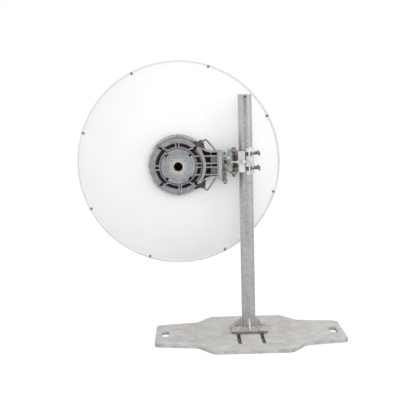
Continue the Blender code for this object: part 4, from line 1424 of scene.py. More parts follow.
@dataclass
class PoleClamp:
    """Jaws, clamp bolts, azimuth channel and trunnion."""

    jaw_wall: float = 0.006
    bolt_y: float = 0.0435
    hole_radius: float = 0.0056
    heights: Point = (0.739, 0.803)
    edge: float = 0.0007
    inside_radius: float = 0.03065
    right_lug: float = 0.016
    rod_y: float = -0.070
    rod_z: float = 0.770
    trunnion_x: float = -0.012

    def build(self) -> None:
        """Make every piece of the clamp."""
        self.left_jaw()
        self.right_jaw()
        channel = refined_copy("azimuth_channel", self.edge)
        install(paint(channel, YELLOW_ZINC), Body.CLAMP, ["azimuth_channel"])
        self.bolts()
        self.trunnion()

    def holes(self, ends: Point) -> list[Piece]:
        """Drills for the four clamp bolts.

        Args:
            ends: Low and high end along X.

        Returns:
            Four cutting pieces.
        """
        return [extruded("clamp_drill", [circle((y, z), self.hole_radius, 24)], ends, Facing.X)
                for z in self.heights for y in (-self.bolt_y, self.bolt_y)]

    def left_jaw(self) -> None:
        """Channel-shaped jaw with bent corners."""
        low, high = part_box("clamp_left_jaw")
        web, tip, half, wall, bend = low[0], high[0], high[1], self.jaw_wall, 0.007
        outer = [(tip, -half), *arc((web + bend, -half + bend), bend, 270, 180, 6),
                 *arc((web + bend, half - bend), bend, 180, 90, 6), (tip, half)]
        floor, side, cut = web + wall, half - wall, 0.001
        inner = [(tip, side), (floor + cut, side), (floor, side - cut), (floor, cut - side),
                 (floor + cut, -side), (tip, -side)]
        jaw = extruded("dressed_clamp_left_jaw", [outer + inner], (low[2], high[2]), Facing.Z)
        jaw = bevelled(combine(jaw, self.holes((web - 0.01, 0.03)), "DIFFERENCE"), self.edge)
        install(paint(jaw, BRIGHT_ZINC), Body.CLAMP, ["clamp_left_jaw"])

    def right_jaw(self) -> None:
        """Bent plate that hugs the pole, with notches in its front lips."""
        low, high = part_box("clamp_right_jaw")
        tip, half, wall, ear, cut = low[0], high[1], self.jaw_wall, 0.010, 0.003
        inside, outside = self.inside_radius, self.inside_radius + wall
        hug = math.degrees(math.acos((ear + wall) / outside))
        inner_hug = math.degrees(math.acos(ear / inside))
        outline = [(tip, -half), (ear + wall - cut, -half), (ear + wall, -half + cut)]
        outline += arc((0, 0), outside, -hug, hug, 28)
        outline += [(ear + wall, half - cut), (ear + wall - cut, half), (tip, half), (tip, half - wall),
                    (ear, half - wall)]
        outline += arc((0, 0), inside, inner_hug, -inner_hug, 28)
        outline += [(ear, -half + wall), (tip, -half + wall)]
        jaw = extruded("dressed_clamp_right_jaw", [outline], (low[2], high[2]), Facing.Z)
        notches = []
        for z in self.heights:
            for middle in (-(half - 0.003), half - 0.003):
                notches.append(extruded("lip_notch", [rounded_box((tip, z), (0.0102, 0.0085), 0.002)],
                                        (middle - 0.006, middle + 0.006), Facing.Y))
        jaw = bevelled(combine(jaw, self.holes((-0.02, 0.05)) + notches, "DIFFERENCE"), self.edge)
        install(paint(jaw, BRIGHT_ZINC), Body.CLAMP, ["clamp_right_jaw"])

    def bolts(self) -> None:
        """Long bolts along X with a flared head and two nuts each."""
        for row, height in zip(("lower", "upper"), self.heights):
            for label, side in (("front", -1), ("rear", 1)):
                node = f"clamp_bolt_{row}_{label}"
                low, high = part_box(node)
                left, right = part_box("clamp_left_jaw")[0][0] - SEAT, self.right_lug + SEAT
                bolt = BoltSet(Facing.X, (side * self.bolt_y, height), BOLT_ZINC)
                bolt.thread((low[0], high[0] - 0.004))
                bolt.nut((left - 0.008, left), 12.0)
                bolt.nut((right + 0.0016, right + 0.008), 40.0)
                bolt.washer((0.0054, 0.0094), (right, right + 0.0016))
                bolt.parts.append(self.flared_head(bolt.centre, high[0]))
                bolt.install(f"dressed_{node}", Body.CLAMP, "bolt_steel", node)

    def flared_head(self, place: Point, end: float) -> Piece:
        """Bolt head that widens toward its outer face.

        Args:
            place: Centre of the bolt in Y and Z.
            end: Outer end along X.

        Returns:
            The head.
        """
        steps = ((0.0, 0.0085), (0.0058, 0.0085), (0.0075, 0.0045), (0.0112, 0.0028), (0.0117, 0.0008),
                 (0.0105, 0.0), (0.0, 0.0))
        section = [(radius, end - depth) for radius, depth in steps]
        return paint(lathe("flared_head", section, Facing.X, place, 48), BOLT_ZINC)

    def trunnion(self) -> None:
        """Ball nut on a short neck, bored for the rod."""
        radius, bore = 0.0094, 0.0052
        mouth = math.sqrt(radius ** 2 - bore ** 2)
        section = [(radius * math.sin(math.radians(a)), -radius * math.cos(math.radians(a)))
                   for a in range(42, 139, 8)]
        section = [(r, h + self.trunnion_x) for r, h in [(bore, -mouth), *section, (bore, mouth)]]
        ball = lathe("ball_nut", section, Facing.X, (self.rod_y, self.rod_z), 48)
        start, end = self.rod_y + 0.0070, -0.0583
        neck = lathe("ball_neck", [(0.0, start), (0.0060, start), (0.0062, end), (0.0, end)], Facing.Y,
                     (self.trunnion_x, self.rod_z), 32)
        piece = gathered("dressed_azimuth_trunnion", [paint(ball, BRIGHT_ZINC), paint(neck, BRIGHT_ZINC)])
        install(piece, Body.CLAMP, ["azimuth_trunnion"])


@dataclass
class Yoke:
    """Folded yoke with its pivot bolts, lock bolts, rod pin and elevation rod."""

    azimuth_pivot: Point = (-0.053, -0.020)
    elevation_pivot: Point = (-0.020, 0.768)
    lock_heights: Point = (0.730, 0.806)
    rod_pin: Point = (-0.0785, -0.070)
    elevation_rod: Point = (-0.094, -0.078)
    web_face: float = -0.1115
    right_face: float = -0.0975
    top_face: float = 0.8225
    bottom_face: float = 0.7165
    shelf_face: float = 0.786
    eye_foot: float = 0.764
    pivot_across: float = 0.0155
    pin_across: float = 0.015
    foot_ends: Point = (0.686, 0.692)

    def build(self) -> None:
        """Make the yoke and its bolts and rods."""
        yoke = refined_copy("azimuth_yoke", 0.0008, 3)
        install(paint(yoke, BLUE_ZINC), Body.YOKE, ["azimuth_yoke"])
        self.pivots()
        self.locks()
        self.rods()

    def pivots(self) -> None:
        """Azimuth bolt through the flanges and elevation bolt through the web."""
        low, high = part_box("azimuth_pivot_bolt")
        top, foot = self.top_face + SEAT, self.bottom_face - SEAT
        bolt = BoltSet(Facing.Z, self.azimuth_pivot, BOLT_ZINC)
        bolt.thread((low[2], top + 0.001), GOLD_ROD)
        bolt.nut((top, high[2]), 10.0, self.pivot_across)
        bolt.nut((foot - 0.0102, foot), 25.0, self.pivot_across)
        bolt.install("dressed_azimuth_pivot_bolt", Body.YOKE, "bolt_steel", "azimuth_pivot_bolt")
        low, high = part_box("elevation_pivot_bolt")
        self.cross_bolt("elevation_pivot_bolt", (low[0], high[0]), self.elevation_pivot, M12, 0.010)

    def locks(self) -> None:
        """Two lock bolts in the channel's slots."""
        for label, height in zip(("lower", "upper"), self.lock_heights):
            node = f"elevation_lock_bolt_{label}"
            low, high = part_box(node)
            self.cross_bolt(node, (low[0], high[0]), (self.elevation_pivot[0], height), M8, 0.007, 15.0)

    def cross_bolt(self, node: str, ends: Point, place: Point, size: Thread, height: float,
                   spin: float = 0.0) -> None:
        """Bolt along X through the web, with its nut on the right.

        Args:
            node: Plain node that it stands for.
            ends: Low and high end of that node along X.
            place: Its centre in Y and Z.
            size: Its thread.
            height: Height of the nut.
            spin: Turn of the nut in degrees.
        """
        low, high = ends
        bolt = BoltSet(Facing.X, place, BOLT_ZINC, size)
        bolt.thread((low + 0.002, high))
        bolt.nut((low, self.web_face - SEAT))
        bolt.nut((self.right_face + SEAT, self.right_face + height), spin)
        bolt.install(f"dressed_{node}", Body.YOKE, "bolt_steel", node)

    def rods(self) -> None:
        """Pin of the azimuth rod and the upright elevation rod with its nuts."""
        low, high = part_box("azimuth_rod_pin")
        shelf = self.shelf_face + SEAT
        pin = BoltSet(Facing.Z, self.rod_pin, BRIGHT_ZINC, M8)
        pin.thread((low[2], shelf))
        pin.nut((shelf + 0.0014, high[2]), 8.0, self.pin_across)
        pin.washer((0.0042, 0.0084), (shelf, shelf + 0.0014))
        pin.nut((0.757, self.eye_foot), 22.0, self.pin_across, BOLT_ZINC)
        pin.install("dressed_azimuth_rod_pin", Body.YOKE, "bright_steel", "azimuth_rod_pin")
        low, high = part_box("elevation_adjuster_rod")
        foot_low, foot_top = self.foot_ends[0] - SEAT, self.foot_ends[1] + SEAT
        rod = BoltSet(Facing.Z, self.elevation_rod, BOLT_ZINC, M8)
        rod.thread((low[2], high[2]))
        for bottom, top, spin in ((foot_low - 0.0067, foot_low, 5.0), (foot_top, foot_top + 0.0062, 30.0),
                                  (0.7105, 0.7165, 12.0), (0.7450, 0.7515, 50.0)):
            rod.nut((bottom, top), spin)
        rod.install("dressed_elevation_rod", Body.YOKE, "bolt_steel", "elevation_adjuster_rod")


@dataclass
class AzimuthRod:
    """Threaded rod with an eye, which pushes the yoke round the azimuth bolt."""

    pin: Point = Yoke.rod_pin
    height: float = PoleClamp.rod_z
    eye_radii: Point = (0.0045, 0.0080)
    nut_ends: Point = (-0.0410, -0.0340)

    def build(self) -> None:
        """Make the eye, the rod and its nut."""
        low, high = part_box("azimuth_adjuster_rod")
        rod = BoltSet(Facing.X, (self.pin[1], self.height), BRIGHT_ZINC, M8)
        section = tube_section(self.eye_radii, (low[2], high[2]))
        rod.parts.append(paint(lathe("rod_eye", section, Facing.Z, self.pin, 48, 0.0008), BOLT_ZINC))
        rod.thread((self.pin[0] + 0.0076, high[0]))
        rod.nut(self.nut_ends, 20.0, Yoke.pin_across)
        rod.install("dressed_azimuth_rod", Body.ROD, "bright_steel", "azimuth_adjuster_rod")


@dataclass
class ArmEnd:
    """End channel that turns on the elevation bolt, and the slotted lug of the elevation rod."""

    def build(self) -> None:
        """Make the channel and the lug."""
        channel = refined_copy("arm_end_channel", 0.0009, 3)
        install(paint(channel, END_PLATE), Body.ANTENNA, ["arm_end_channel"])
        lug = refined_copy("elevation_lug", 0.0008)
        install(paint(lug, BOLT_ZINC), Body.ANTENNA, ["elevation_lug"])


@dataclass
class HubCasting:
    """Round die casting with a ribbed pocket, raised ring, ears, and the ribbed arm."""

    ring_inner: float = 0.098
    ring_outer: float = 0.116
    disc_radius: float = 0.074
    front_y: float = -0.076
    back_y: float = 0.0265
    end_x: float = -0.1208
    rib_heights: tuple[float, ...] = (0.7190, 0.7514, 0.7675, 0.7990)
    rib_width: float = 0.005
    pocket_floor: float = 0.018
    arm_low: float = 0.7085
    arm_high: float = 0.8187
    skin: float = 0.0040
    bay_floor: float = -0.052
    corners: tuple[int, ...] = (45, 135, 225, 315)
    lug_reach: float = 0.0695
    boss_reach: float = 0.1075
    boss_radius: float = 0.0085
    drill_radii: Point = (0.0036, 0.0040)
    screw_reach: float = 0.1264
    screw_y: float = -0.0072
    upper_ear: tuple[Point, ...] = (
        (-0.219, 0.834), (-0.203, 0.834), (-0.176, 0.822), (-0.184, 0.8635), (-0.1955, 0.8655),
        (-0.2045, 0.859), (-0.226, 0.862))
    lower_ear: tuple[Point, ...] = (
        (-0.219, 0.680), (-0.226, 0.652), (-0.2000, 0.660), (-0.1920, 0.6555), (-0.1800, 0.6575),
        (-0.1745, 0.7025), (-0.200, 0.690))

    def corner_places(self, reach: float) -> list[Point]:
        """Centres at a distance from the axis, one toward each corner of the hub's face."""
        turns = [math.radians(angle) for angle in self.corners]
        return [(AXIS[0] + reach * math.cos(t), AXIS[1] + reach * math.sin(t)) for t in turns]

    def edge_x(self, height: float, radius: float) -> float:
        """Right-hand place of a circle round the axis at a height."""
        return AXIS[0] + math.sqrt(radius ** 2 - (height - AXIS[1]) ** 2)

    def profile(self) -> Loop:
        """Section of the round part, with the small turned steps of flange and disc.

        Returns:
            The section, as radius and Y.
        """
        return [
            (0.1325, 0.0388), (0.1325, -0.0048), (0.1316, -0.0059), (0.1272, -0.0059), (0.1264, -0.0068),
            (0.1212, -0.0068), (0.1204, -0.0076), (0.1172, -0.0076), (self.ring_outer, -0.0100),
            (self.ring_outer, -0.0420), (0.1130, -0.0450), (0.1085, -0.0450), (0.1080, -0.0442),
            (0.1040, -0.0442), (0.1035, -0.0450), (0.1000, -0.0450), (self.ring_inner, -0.0430),
            (self.ring_inner, 0.0040), (0.0835, 0.0040), (0.0830, -0.0590), (0.0795, -0.0600),
            (0.0790, -0.0500), (0.0745, -0.0500), (self.disc_radius, -0.0705), (0.0715, -0.0722),
            (0.0665, -0.0722), (0.0655, -0.0735), (0.0610, -0.0735), (0.0600, -0.0750), (0.0240, -0.0750),
            (0.0240, 0.0246), (0.1000, 0.0246), (0.1160, 0.0350),
        ]

    def arm_outline(self) -> Loop:
        """Outline of the arm, from inside the ring to the end plate."""
        edge = arc(AXIS, self.ring_inner + 0.009, 46, -46, 24)
        low, high = self.arm_low, self.arm_high
        lower = [(-0.200, 0.683), (-0.181, 0.6975), (-0.166, 0.7045), (-0.150, low), (self.end_x, low)]
        upper = [(self.end_x, high), (-0.150, high), (-0.164, 0.8205), (-0.177, 0.8265), (-0.203, 0.838)]
        return edge + lower + upper

    def pockets(self) -> tuple[list[Loop], list[Loop]]:
        """Outline the arm's pockets.

        Returns:
            Deep pockets between its ribs, and the shallow ones of its last bay.
        """
        wall, clear = self.rib_width / 2, self.ring_outer + 0.0035
        floor, roof = self.arm_low + self.skin, self.arm_high - self.skin
        bay_end, bay_start, end = -0.1540, -0.1520, self.end_x - 0.0057
        deep: list[Loop] = []
        shallow: list[Loop] = []
        heights = self.rib_heights
        for number, (low, high) in enumerate(zip(heights, heights[1:])):
            low, high = low + wall, high - wall
            steps = [low + (high - low) * k / 6 for k in range(7)]
            deep.append([*((self.edge_x(z, clear), z) for z in steps), (bay_end, high), (bay_end, low)])
            middle = number == 1
            side = bay_start if middle else bay_end - 0.0005
            (deep if middle else shallow).append([(side, low), (end, low), (end, high), (side, high)])
        above = ((-0.1655, 0.8162), (-0.179, 0.8222), (-0.195, 0.8302))
        below = ((-0.168, 0.7090), (-0.1825, 0.7020), (-0.195, 0.6905))
        for rib, edge, bend in ((heights[-1] + wall, roof, above), (heights[0] - wall, floor, below)):
            deep.append([(self.edge_x(rib, clear), rib), (bay_end, rib), (bay_end, edge), *bend])
            deep.append([(bay_start, rib), (end, rib), (end, edge), (bay_start, edge)])
        return deep, shallow

    def ribs(self) -> list[Loop]:
        """Outline the ribs that cross the round pocket.

        Returns:
            One outline for each rib.
        """
        x, z = AXIS
        inner, outer = 0.076, self.ring_inner + 0.004
        lines = [((x + offset, z + inner), (x + offset, z + outer)) for offset in (-0.0085, 0.0045)]
        lines += [((x + offset, z - outer), (x + offset, z - inner)) for offset in (0.0015, 0.0115)]
        lines += [((x - outer, z + offset), (x - inner, z + offset)) for offset in (0.0036, -0.0134)]
        lines += [((x + side_x * 0.065, z + side_z * 0.078), (x + side_x * 0.036, z + side_z * 0.067))
                  for side_x in (-1, 1) for side_z in (-1, 1)]
        lines += [((self.edge_x(height, inner), height), (self.edge_x(height, outer), height))
                  for height in self.rib_heights]
        return [strip(start, end, self.rib_width) for start, end in lines]

    def build(self) -> None:
        """Make the casting and its small screws."""
        hub = lathe("dressed_hub_casting", self.profile(), Facing.Y, AXIS, 144)
        deep, shallow = ([rounded_loop(loop, 0.0018) for loop in loops] for loops in self.pockets())
        front, (small, large) = self.front_y, self.drill_radii
        lugs, bosses = self.corner_places(self.lug_reach), self.corner_places(self.boss_reach)
        additions = (
            ("arm", [self.arm_outline()], (front, self.back_y)),
            ("upper_ear", [rounded_loop(self.upper_ear, 0.003)], (-0.030, 0.0245)),
            ("lower_ear", [rounded_loop(self.lower_ear, 0.003)], (-0.030, 0.0245)),
            ("ribs", self.ribs(), (-0.066, 0.010)),
            ("ring_bosses", [circle(place, self.boss_radius, 24) for place in bosses], (-0.0475, -0.020)),
            ("disc_bosses", [circle(place, self.boss_radius, 24) for place in lugs], (front, -0.040)),
        )
        cuts = (
            ("deep", deep, (front - 0.010, self.pocket_floor)),
            ("shallow", shallow, (front - 0.012, self.bay_floor)),
            ("disc_drill", [circle(place, small, 20) for place in lugs], (-0.085, -0.060)),
            ("ring_drill", [circle(place, large, 20) for place in bosses], (-0.086, -0.030)),
        )
        for shapes, operation in ((additions, "UNION"), (cuts, "DIFFERENCE")):
            tools = [extruded(name, loops, ends, Facing.Y) for name, loops, ends in shapes]
            hub = combine(hub, tools, operation)
        hub = bevelled(hub, 0.0007, 2, math.radians(50))
        self.dress(hub)
        install(hub, Body.ANTENNA, ["hub_casting", "port_boss", "arm_casting"])
        self.screws()

    def dress(self, hub: Piece) -> None:
        """Casting grey outside, with painted shade deep in the pockets, in the drilled holes and on the ears.

        Args:
            hub: The casting.
        """
        paint(hub, CASTING)

        def in_pocket(face: Any) -> bool:
            """Whether a face lies deep inside a pocket."""
            centre, radius = face.center, off_axis(face.center)
            in_ring = 0.0835 < radius < self.ring_inner + 0.0002 and centre.y > -0.040
            in_arm = radius > self.ring_outer and centre.y > -0.060 and 0.700 < centre.z < 0.835
            inside_arm = in_arm and centre.x < self.end_x - 0.004 and centre.y < self.pocket_floor + 0.001
            outer_wall = radius > self.ring_outer and abs(face.normal.y) < 0.5 and (
                centre.z > self.arm_high - 0.001 or centre.z < self.arm_low + 0.001)
            shallow = centre.x > -0.153 and centre.y < -0.050
            return (in_ring or inside_arm) and not outer_wall and not shallow

        reaches = (self.lug_reach, self.boss_reach)
        holes = [(place, radius + 0.0002) for reach, radius in zip(reaches, self.drill_radii)
                 for place in self.corner_places(reach)]

        def in_hole(face: Any) -> bool:
            """Whether a face belongs to one of the drilled holes."""
            centre = face.center
            return centre.y > self.front_y - 0.001 and any(
                math.dist((centre.x, centre.z), place) < size for place, size in holes)

        def on_ear(face: Any) -> bool:
            """Whether a face belongs to an ear, outside the ring, where shade is painted."""
            centre = face.center
            outside = off_axis(centre) > self.ring_outer + 0.0005
            return outside and -0.0305 < centre.y < 0.020 and (centre.z > 0.8285 or centre.z < 0.6945)

        def on_flange(face: Any, inner: float) -> bool:
            """Whether a whole face lies on the flange's front, outside a radius."""
            corners = [hub.data.vertices[number].co for number in face.vertices]
            return all(off_axis(corner) > inner and -0.0100 < corner.y < -0.0040 for corner in corners)

        def on_panel(face: Any) -> bool:
            """Whether a face is the floor of a shallow bay."""
            return face.center.x > -0.1550 and abs(face.center.y - self.bay_floor) < 0.0005

        for finish, test in (
            # Painted shade on the pocket walls, darker again on their floors.
            (POCKET_WALL, in_pocket),
            (POCKET, lambda face: in_pocket(face) and face.normal.y < -0.5),
            (HUB_FLANGE, lambda face: on_flange(face, self.ring_outer + 0.0004)),
            (HUB_RIM, lambda face: on_flange(face, self.screw_reach - 0.0002)),
            (HOLE_SHADE, in_hole),
            (EAR_SHADE, on_ear),
            (INNER_POCKET, on_panel),
        ):
            paint_where(hub, finish, test)

    def screws(self) -> None:
        """Small bolts round the outer flange, set out by a tree."""
        seed = BoltSet(Facing.Z, (0, 0), CASTING)
        seed.nut((0.0, 0.0040), 10.0, 0.0065)
        outline = rounded_box((0, 0), (0.0040, 0.0058), 0.0015, 3)
        tab = extruded("flange_tab", [outline], (-0.0012, 0.0003), Facing.Z, 0.0003)
        seed.parts.append(paint(tab, CASTING))
        screw = gathered("flange_screw_seed", seed.parts)
        install_ring("hub_flange_screws", screw, CASTING, (self.screw_reach, 0.0, 8),
                     self.screw_y)


@dataclass
class Handles:
    """Two carrying handles bent from round bar."""

    depth: float = -0.066
    radius: float = 0.0042
    bend: float = 0.011
    ear_face: float = -0.030

    def build(self) -> None:
        """Make both handles."""
        start, depth = self.ear_face - SEAT, self.depth
        top, foot = HubCasting.arm_high + SEAT, HubCasting.arm_low - SEAT
        routes = {
            "upper_handle": [(-0.1900, start, 0.8585), (-0.1900, depth, 0.8585), (-0.1735, depth, 0.8715),
                             (-0.1340, depth, 0.8240), (-0.1340, depth, top)],
            "lower_handle": [(-0.1870, start, 0.6625), (-0.1870, depth, 0.6625), (-0.1715, depth, 0.6495),
                             (-0.1350, depth, 0.7030), (-0.1350, depth, foot)],
        }
        for node, corners in routes.items():
            bar = swept(f"dressed_{node}", rounded(corners, self.bend, False, 8), self.radius, 20)
            install(paint(bar, HANDLE_BAR), Body.ANTENNA, [node])


@dataclass
class Port:
    """Port plates with their screws, ring, seal and the feed tube behind the bore."""

    outer_bore: float = 0.0237
    inner_bore: float = 0.0274
    hole_radius: float = 0.0027
    screw_reach: float = 0.0385
    inner_hole_reach: float = 0.0275
    seal_lip: float = 0.0256

    def build(self) -> None:
        """Make the port from back to front."""
        for node, finish, bore, corner in (
            ("port_plate_outer", OUTER_PORT, self.outer_bore, 0.004),
            ("port_plate_inner", INNER_PORT, self.inner_bore, 0.002),
        ):
            low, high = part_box(node)
            half, reach = (high[0] - low[0]) / 2, self.inner_hole_reach
            holes = [(AXIS[0] + x * reach, AXIS[1] + z * reach) for x in (-1, 1) for z in (-1, 1)]
            loops = [rounded_box(AXIS, (half, half), corner), circle(AXIS, bore, 64)]
            loops += [circle(hole, self.hole_radius, 20) for hole in holes]
            plate = paint(extruded(f"dressed_{node}", loops, (low[1], high[1]), Facing.Y, 0.0006), finish)
            # Painted shade inside the screw holes.
            paint_where(plate, HOLE_SHADE, lambda face: any(
                math.dist((face.center.x, face.center.z), hole) < self.hole_radius + 0.0003
                for hole in holes))
            install(plate, Body.ANTENNA, [node])
        self.rings()
        self.screws(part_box("port_plate_outer")[0][1])

    def rings(self) -> None:
        """Seal, bright ring and feed tube."""
        for node, finish, slot, inner, rounding in (
            ("port_seal", SILICONE, "port_seal", 0.0241, 0.0005),
            ("port_ring", BRIGHT_RING, "bright_steel", 0.0212, 0.0004),
            ("feed_tube", FEED_METAL, "bright_steel", 0.0181, 0.0002),
        ):
            low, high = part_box(node)
            outer = high[0] - AXIS[0]
            section = [(outer, low[1]), (outer, high[1]), (inner, high[1]), (inner, low[1])]
            if finish is SILICONE:
                section.append((self.seal_lip, low[1]))
            piece = paint(lathe(f"dressed_{node}", section, Facing.Y, AXIS, 80, rounding), finish)
            if finish is SILICONE:
                paint_where(piece, BRIGHT_RING, lambda face: off_axis(face.center) < self.seal_lip)
            install(piece, Body.ANTENNA, [node])

    def screws(self, face_y: float) -> None:
        """Four corner screws of the outer plate, set out by a tree.

        Args:
            face_y: Place of the plate's front face.
        """
        seed = BoltSet(Facing.Z, (0, 0), PORT_SCREW)
        seed.nut((0.0, 0.0036), 15.0, 0.0074)
        seed.washer((0.0022, 0.0054), (-0.0008, 0.0002))
        screw = gathered("port_screw_seed", seed.parts)
        install_ring("port_corner_screws", screw, PORT_SCREW,
                     (self.screw_reach * math.sqrt(2), math.pi / 4, 4), face_y - 0.0011)


@dataclass
class Dish:
    """Spun reflector, moulded radome, and the clamping band with its fixings."""

    radius: float = 0.450
    depth: float = 0.165
    vertex_y: float = 0.025
    wall: float = 0.002
    hole: float = 0.030
    bulge: float = 0.022
    lip: float = 0.008
    band_wall: float = 0.0018
    band_lap: float = 0.0035
    turned_steps: int = 192
    clips: int = 8
    first_clip: float = 71.5

    def build(self) -> None:
        """Make reflector, radome and band."""
        install(self.reflector(), Body.ANTENNA, ["reflector"])
        seat, edge, steps = self.vertex_y + self.depth + self.wall + SEAT, self.radius + self.lip, 40
        radii = [self.radius * k / steps for k in range(steps + 1)]
        dome = [(r, seat + self.bulge * (1 - (r / self.radius) ** 2)) for r in radii]
        outer = [(r, h + self.wall) for r, h in dome]
        section = [*outer, (edge, seat + self.wall), (edge, seat), *reversed(dome)]
        radome = lathe("dressed_radome", section, Facing.Y, AXIS, self.turned_steps)
        install(paint(radome, RADOME_SKIN), Body.ANTENNA, ["radome"])
        low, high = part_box("rim_ring")
        reach, wall, tongue = high[0] - AXIS[0], self.band_wall, self.radius + self.band_lap
        band = [(reach, high[1]), (reach, low[1]), (tongue, low[1]), (tongue, low[1] + wall),
                (reach - wall, low[1] + wall), (reach - wall, high[1] - wall), (tongue, high[1] - wall),
                (tongue, high[1])]
        ring = lathe("dressed_rim_ring", band, Facing.Y, AXIS, self.turned_steps, 0.0006)
        install(paint(ring, RIM_BAND), Body.ANTENNA, ["rim_ring"])
        self.fixings(reach, low[1])

    def reflector(self) -> Piece:
        """Paraboloid grown by a tree from a grid, then given its wall.

        Returns:
            The painted reflector.
        """
        tree = GeometryTree("paraboloid")
        sizes = {"Outer radius": self.radius, "Hole radius": self.hole, "Depth": self.depth,
                 "Vertex": self.vertex_y}
        outer, inner, depth, vertex = (tree.size(name) for name in sizes)
        grid = tree.add("GeometryNodeMeshGrid", {
            "Size X": 1.0, "Size Y": 1.0, "Vertices X": 49, "Vertices Y": self.turned_steps + 1})
        across = tree.add("ShaderNodeSeparateXYZ", {0: tree.add("GeometryNodeInputPosition")})
        around = tree.add(MATH, {0: across.node.outputs[1], 1: 0.5}, operation="ADD")
        share = tree.add(MATH, {0: across, 1: 0.5}, operation="ADD")
        turn = tree.add(MATH, {0: around, 1: 2 * math.pi}, operation="MULTIPLY")
        width = tree.add(MATH, {0: outer, 1: inner}, operation="SUBTRACT")
        radius = tree.add(MATH, {0: share, 1: width, 2: inner}, operation="MULTIPLY_ADD")
        ratio = tree.add(MATH, {0: radius, 1: outer}, operation="DIVIDE")
        square = tree.add(MATH, {0: ratio, 1: ratio}, operation="MULTIPLY")
        height = tree.add(MATH, {0: square, 1: depth, 2: vertex}, operation="MULTIPLY_ADD")
        x, y = (
            tree.add(MATH, {
                0: radius, 1: tree.add(MATH, {0: turn}, operation=wave)}, operation="MULTIPLY")
            for wave in ("COSINE", "SINE"))
        moved = tree.add("ShaderNodeCombineXYZ", {0: x, 1: y, 2: height})
        bowl = tree.add("GeometryNodeSetPosition", {"Geometry": grid, "Position": moved})
        closed = tree.add("GeometryNodeMergeByDistance", {"Geometry": bowl, "Distance": 0.000001})
        tree.close(closed, WHITE_COAT)
        piece = tree.grow("dressed_reflector", sizes)
        piece.data.transform(Facing.Y.frame(AXIS, 0.0) @ MIRROR)
        tidy_mesh(piece, flatten=False)
        shape = bmesh.new()
        shape.from_mesh(piece.data)
        rim = [edge for edge in shape.edges
               if edge.is_boundary and off_axis(edge.verts[0].co) > self.radius - self.wall]
        grown = bmesh.ops.extrude_edge_only(shape, edges=rim)["geom"]
        for vertex in (item for item in grown if isinstance(item, bmesh.types.BMVert)):
            away = Vector((vertex.co.x - AXIS[0], 0.0, vertex.co.z - AXIS[1])).normalized()
            vertex.co += away * self.lip
        bmesh.ops.recalc_face_normals(shape, faces=shape.faces)
        sample = min(shape.faces, key=lambda face: abs(face.calc_center_median().x - AXIS[0]))
        if sample.normal.y < 0:
            bmesh.ops.reverse_faces(shape, faces=shape.faces)
        shape.to_mesh(piece.data)
        shape.free()
        shell = piece.modifiers.new("wall", "SOLIDIFY")
        shell.thickness = self.wall
        shell.offset = 1.0
        piece.name = "reflector_raw"
        return paint(shade(settle(piece, "dressed_reflector")), WHITE_COAT)

    def fixings(self, reach: float, back: float) -> None:
        """Clips of the band, set out by a tree.

        Args:
            reach: Outer radius of the band.
            back: Place of the band's rear face.
        """
        outline = rounded_box((-0.0075, 0.0), (0.0070, 0.0045), 0.0015, 3)
        clip = extruded("clip", [outline], (0.0, 0.0016), Facing.Z, 0.0004)
        dome = [(0.0, 0.0), (0.0030, 0.0014), (0.0028, 0.0028), (0.0, 0.0034)]
        head = lathe("rivet", dome, Facing.Z, (-0.0080, 0.0), 24)
        seed = gathered("clip_seed", [paint(clip, CLIP), paint(head, CLIP)])
        install_ring("rim_clips", seed, CLIP,
                     (reach - 0.0005, math.radians(self.first_clip), self.clips), back)


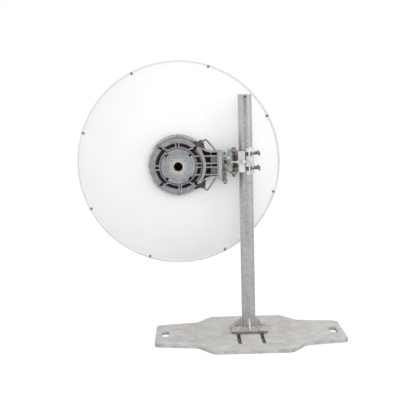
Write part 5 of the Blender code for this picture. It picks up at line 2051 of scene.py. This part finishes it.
@dataclass
class Studio:
    """Pale floor, soft light and the camera."""

    camera_place: Place = (-0.2467, -4.1371, 1.0472)
    yaw: float = -0.0187
    pitch: float = -0.1156
    roll: float = 0.0234
    focal_pixels: float = 950.0
    frame_pixels: float = 416.0
    sensor: float = 36.0
    ambient: float = 0.80
    light_lean: Place = (0.10, 0.0, 0.10)

    def build(self) -> None:
        """Make everything that isn't part of the object."""
        self.camera()
        self.floor()
        self.world()
        self.lights()
        bpy.context.scene.view_settings.view_transform = "Standard"

    def camera(self) -> None:
        """Camera at the photograph's viewing angle."""
        data = bpy.data.cameras.new("camera")
        data.sensor_width = self.sensor
        data.lens = self.focal_pixels * self.sensor / self.frame_pixels
        data.clip_end = 60.0
        camera = bpy.data.objects.new("camera", data)
        bpy.context.scene.collection.objects.link(camera)
        turn = (Matrix.Rotation(self.yaw, 3, "Z") @ Matrix.Rotation(self.pitch, 3, "X")
                @ Matrix.Rotation(self.roll, 3, "Y") @ Matrix.Rotation(math.pi / 2, 3, "X"))
        camera.matrix_world = Matrix.Translation(self.camera_place) @ turn.to_4x4()
        bpy.context.scene.camera = camera

    def floor(self) -> None:
        """Wide plain floor just under the plate, lifted to white for the camera alone."""
        mesh = bpy.data.meshes.new("floor")
        shape = bmesh.new()
        bmesh.ops.create_grid(shape, x_segments=1, y_segments=1, size=14.0,
                              matrix=Matrix.Translation((0, 0, -0.0005)))
        shape.to_mesh(mesh)
        shape.free()
        floor = paint(link_mesh("floor", mesh), FLOOR)

    def world(self) -> None:
        """Even white surroundings, which glossy metal sees with a greyer front between bright sides."""
        world = bpy.data.worlds.new("studio")
        bpy.context.scene.world = world
        world.use_nodes = True
        tree = world.node_tree
        tree.nodes.clear()
        where = add_node(tree, "ShaderNodeTexCoord")
        split = add_node(tree, "ShaderNodeSeparateXYZ", {0: where.outputs["Generated"]})
        side = add_node(tree, RANGE, {
            "Value": split.outputs[0], "From Min": -1.0, "From Max": 1.0})
        ramp = add_node(tree, "ShaderNodeValToRGB", {0: side.outputs[0]})
        fill_ramp(ramp, ((0.0, "#ffffff"), (0.14, "#ffffff"), (0.34, "#b4b4b8"), (0.43, "#7c7c80"),
                         (0.57, "#8a8a8e"), (0.68, "#c4c4c8"), (0.84, "#ffffff"), (1.0, "#ffffff")))
        upward = add_node(tree, RANGE, {
            "Value": split.outputs[2], "From Min": 0.10, "From Max": 0.80, "To Min": 0.0, "To Max": 1.0})
        shiny = add_node(tree, MIX, {
            0: upward.outputs[0], 6: ramp.outputs[0], 7: linear("#ffffff")}, data_type="RGBA")
        lean = add_node(tree, VECTOR_MATH, {
            0: where.outputs["Generated"], 1: self.light_lean}, operation="DOT_PRODUCT")
        level = add_node(tree, MATH, {0: lean.outputs["Value"], 1: self.ambient}, operation="ADD")
        even = add_node(tree, "ShaderNodeCombineColor", {channel: level.outputs[0] for channel in range(3)})
        ray = add_node(tree, "ShaderNodeLightPath")
        seen = add_node(tree, MIX, {
            0: ray.outputs["Is Glossy Ray"], 6: even.outputs[0], 7: shiny.outputs[2]}, data_type="RGBA")
        soft = add_node(tree, "ShaderNodeBackground", {"Color": seen.outputs[2], "Strength": 1.0})
        plain = add_node(tree, "ShaderNodeBackground", {"Color": linear("#ffffff"), "Strength": 1.0})
        choice = add_node(tree, "ShaderNodeMixShader", {
            0: ray.outputs["Is Camera Ray"], 1: soft.outputs[0], 2: plain.outputs[0]})
        add_node(tree, "ShaderNodeOutputWorld", {0: choice.outputs[0]})

    def lights(self) -> None:
        """Large soft boxes: one in front that metal doesn't mirror, overhead, and at both sides."""
        for name, place, target, size, power in (
            ("overhead", (0.3, -1.0, 3.2), (-0.2, 0.0, 0.4), 2.6, 1.5),
            ("front", (0.3, -4.6, 1.4), (-0.2, 0.0, 0.8), 3.0, 64.0),
            ("left", (-3.0, -2.2, 1.4), (-0.2, 0.0, 0.6), 1.8, 4.0),
            ("right", (3.0, -1.8, 1.6), (0.0, 0.0, 0.6), 1.8, 8.0),
        ):
            data = bpy.data.lights.new(name, "AREA")
            data.shape = "SQUARE"
            data.size = size
            data.energy = power
            light = bpy.data.objects.new(name, data)
            light.visible_glossy = name != "front"
            bpy.context.scene.collection.objects.link(light)
            aim = (Vector(target) - Vector(place)).to_track_quat("-Z", "Y")
            light.matrix_world = Matrix.Translation(place) @ aim.to_matrix().to_4x4()


def write_sizes() -> None:
    """Define a local helper that turns bounds into lists of numbers; it is not called, and no box is kept.
    """
    def plain(bounds: Any) -> list[list[float]]:
        """Bounds as lists of numbers."""
        return [[float(value) for value in corner] for corner in bounds]


def main() -> None:
    """Build the studio and every sub-assembly in order."""
    logging.basicConfig(level=logging.INFO, format="%(message)s")
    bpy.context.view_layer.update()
    for assembly in (
        Studio(), FloorPlate(), PoleFoot(), Pole(), PoleClamp(), Yoke(), AzimuthRod(), ArmEnd(), HubCasting(),
        Handles(), Port(), Dish(),
    ):
        assembly.build()
    write_sizes()


if __name__ == "__main__":
    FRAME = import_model()
    main()
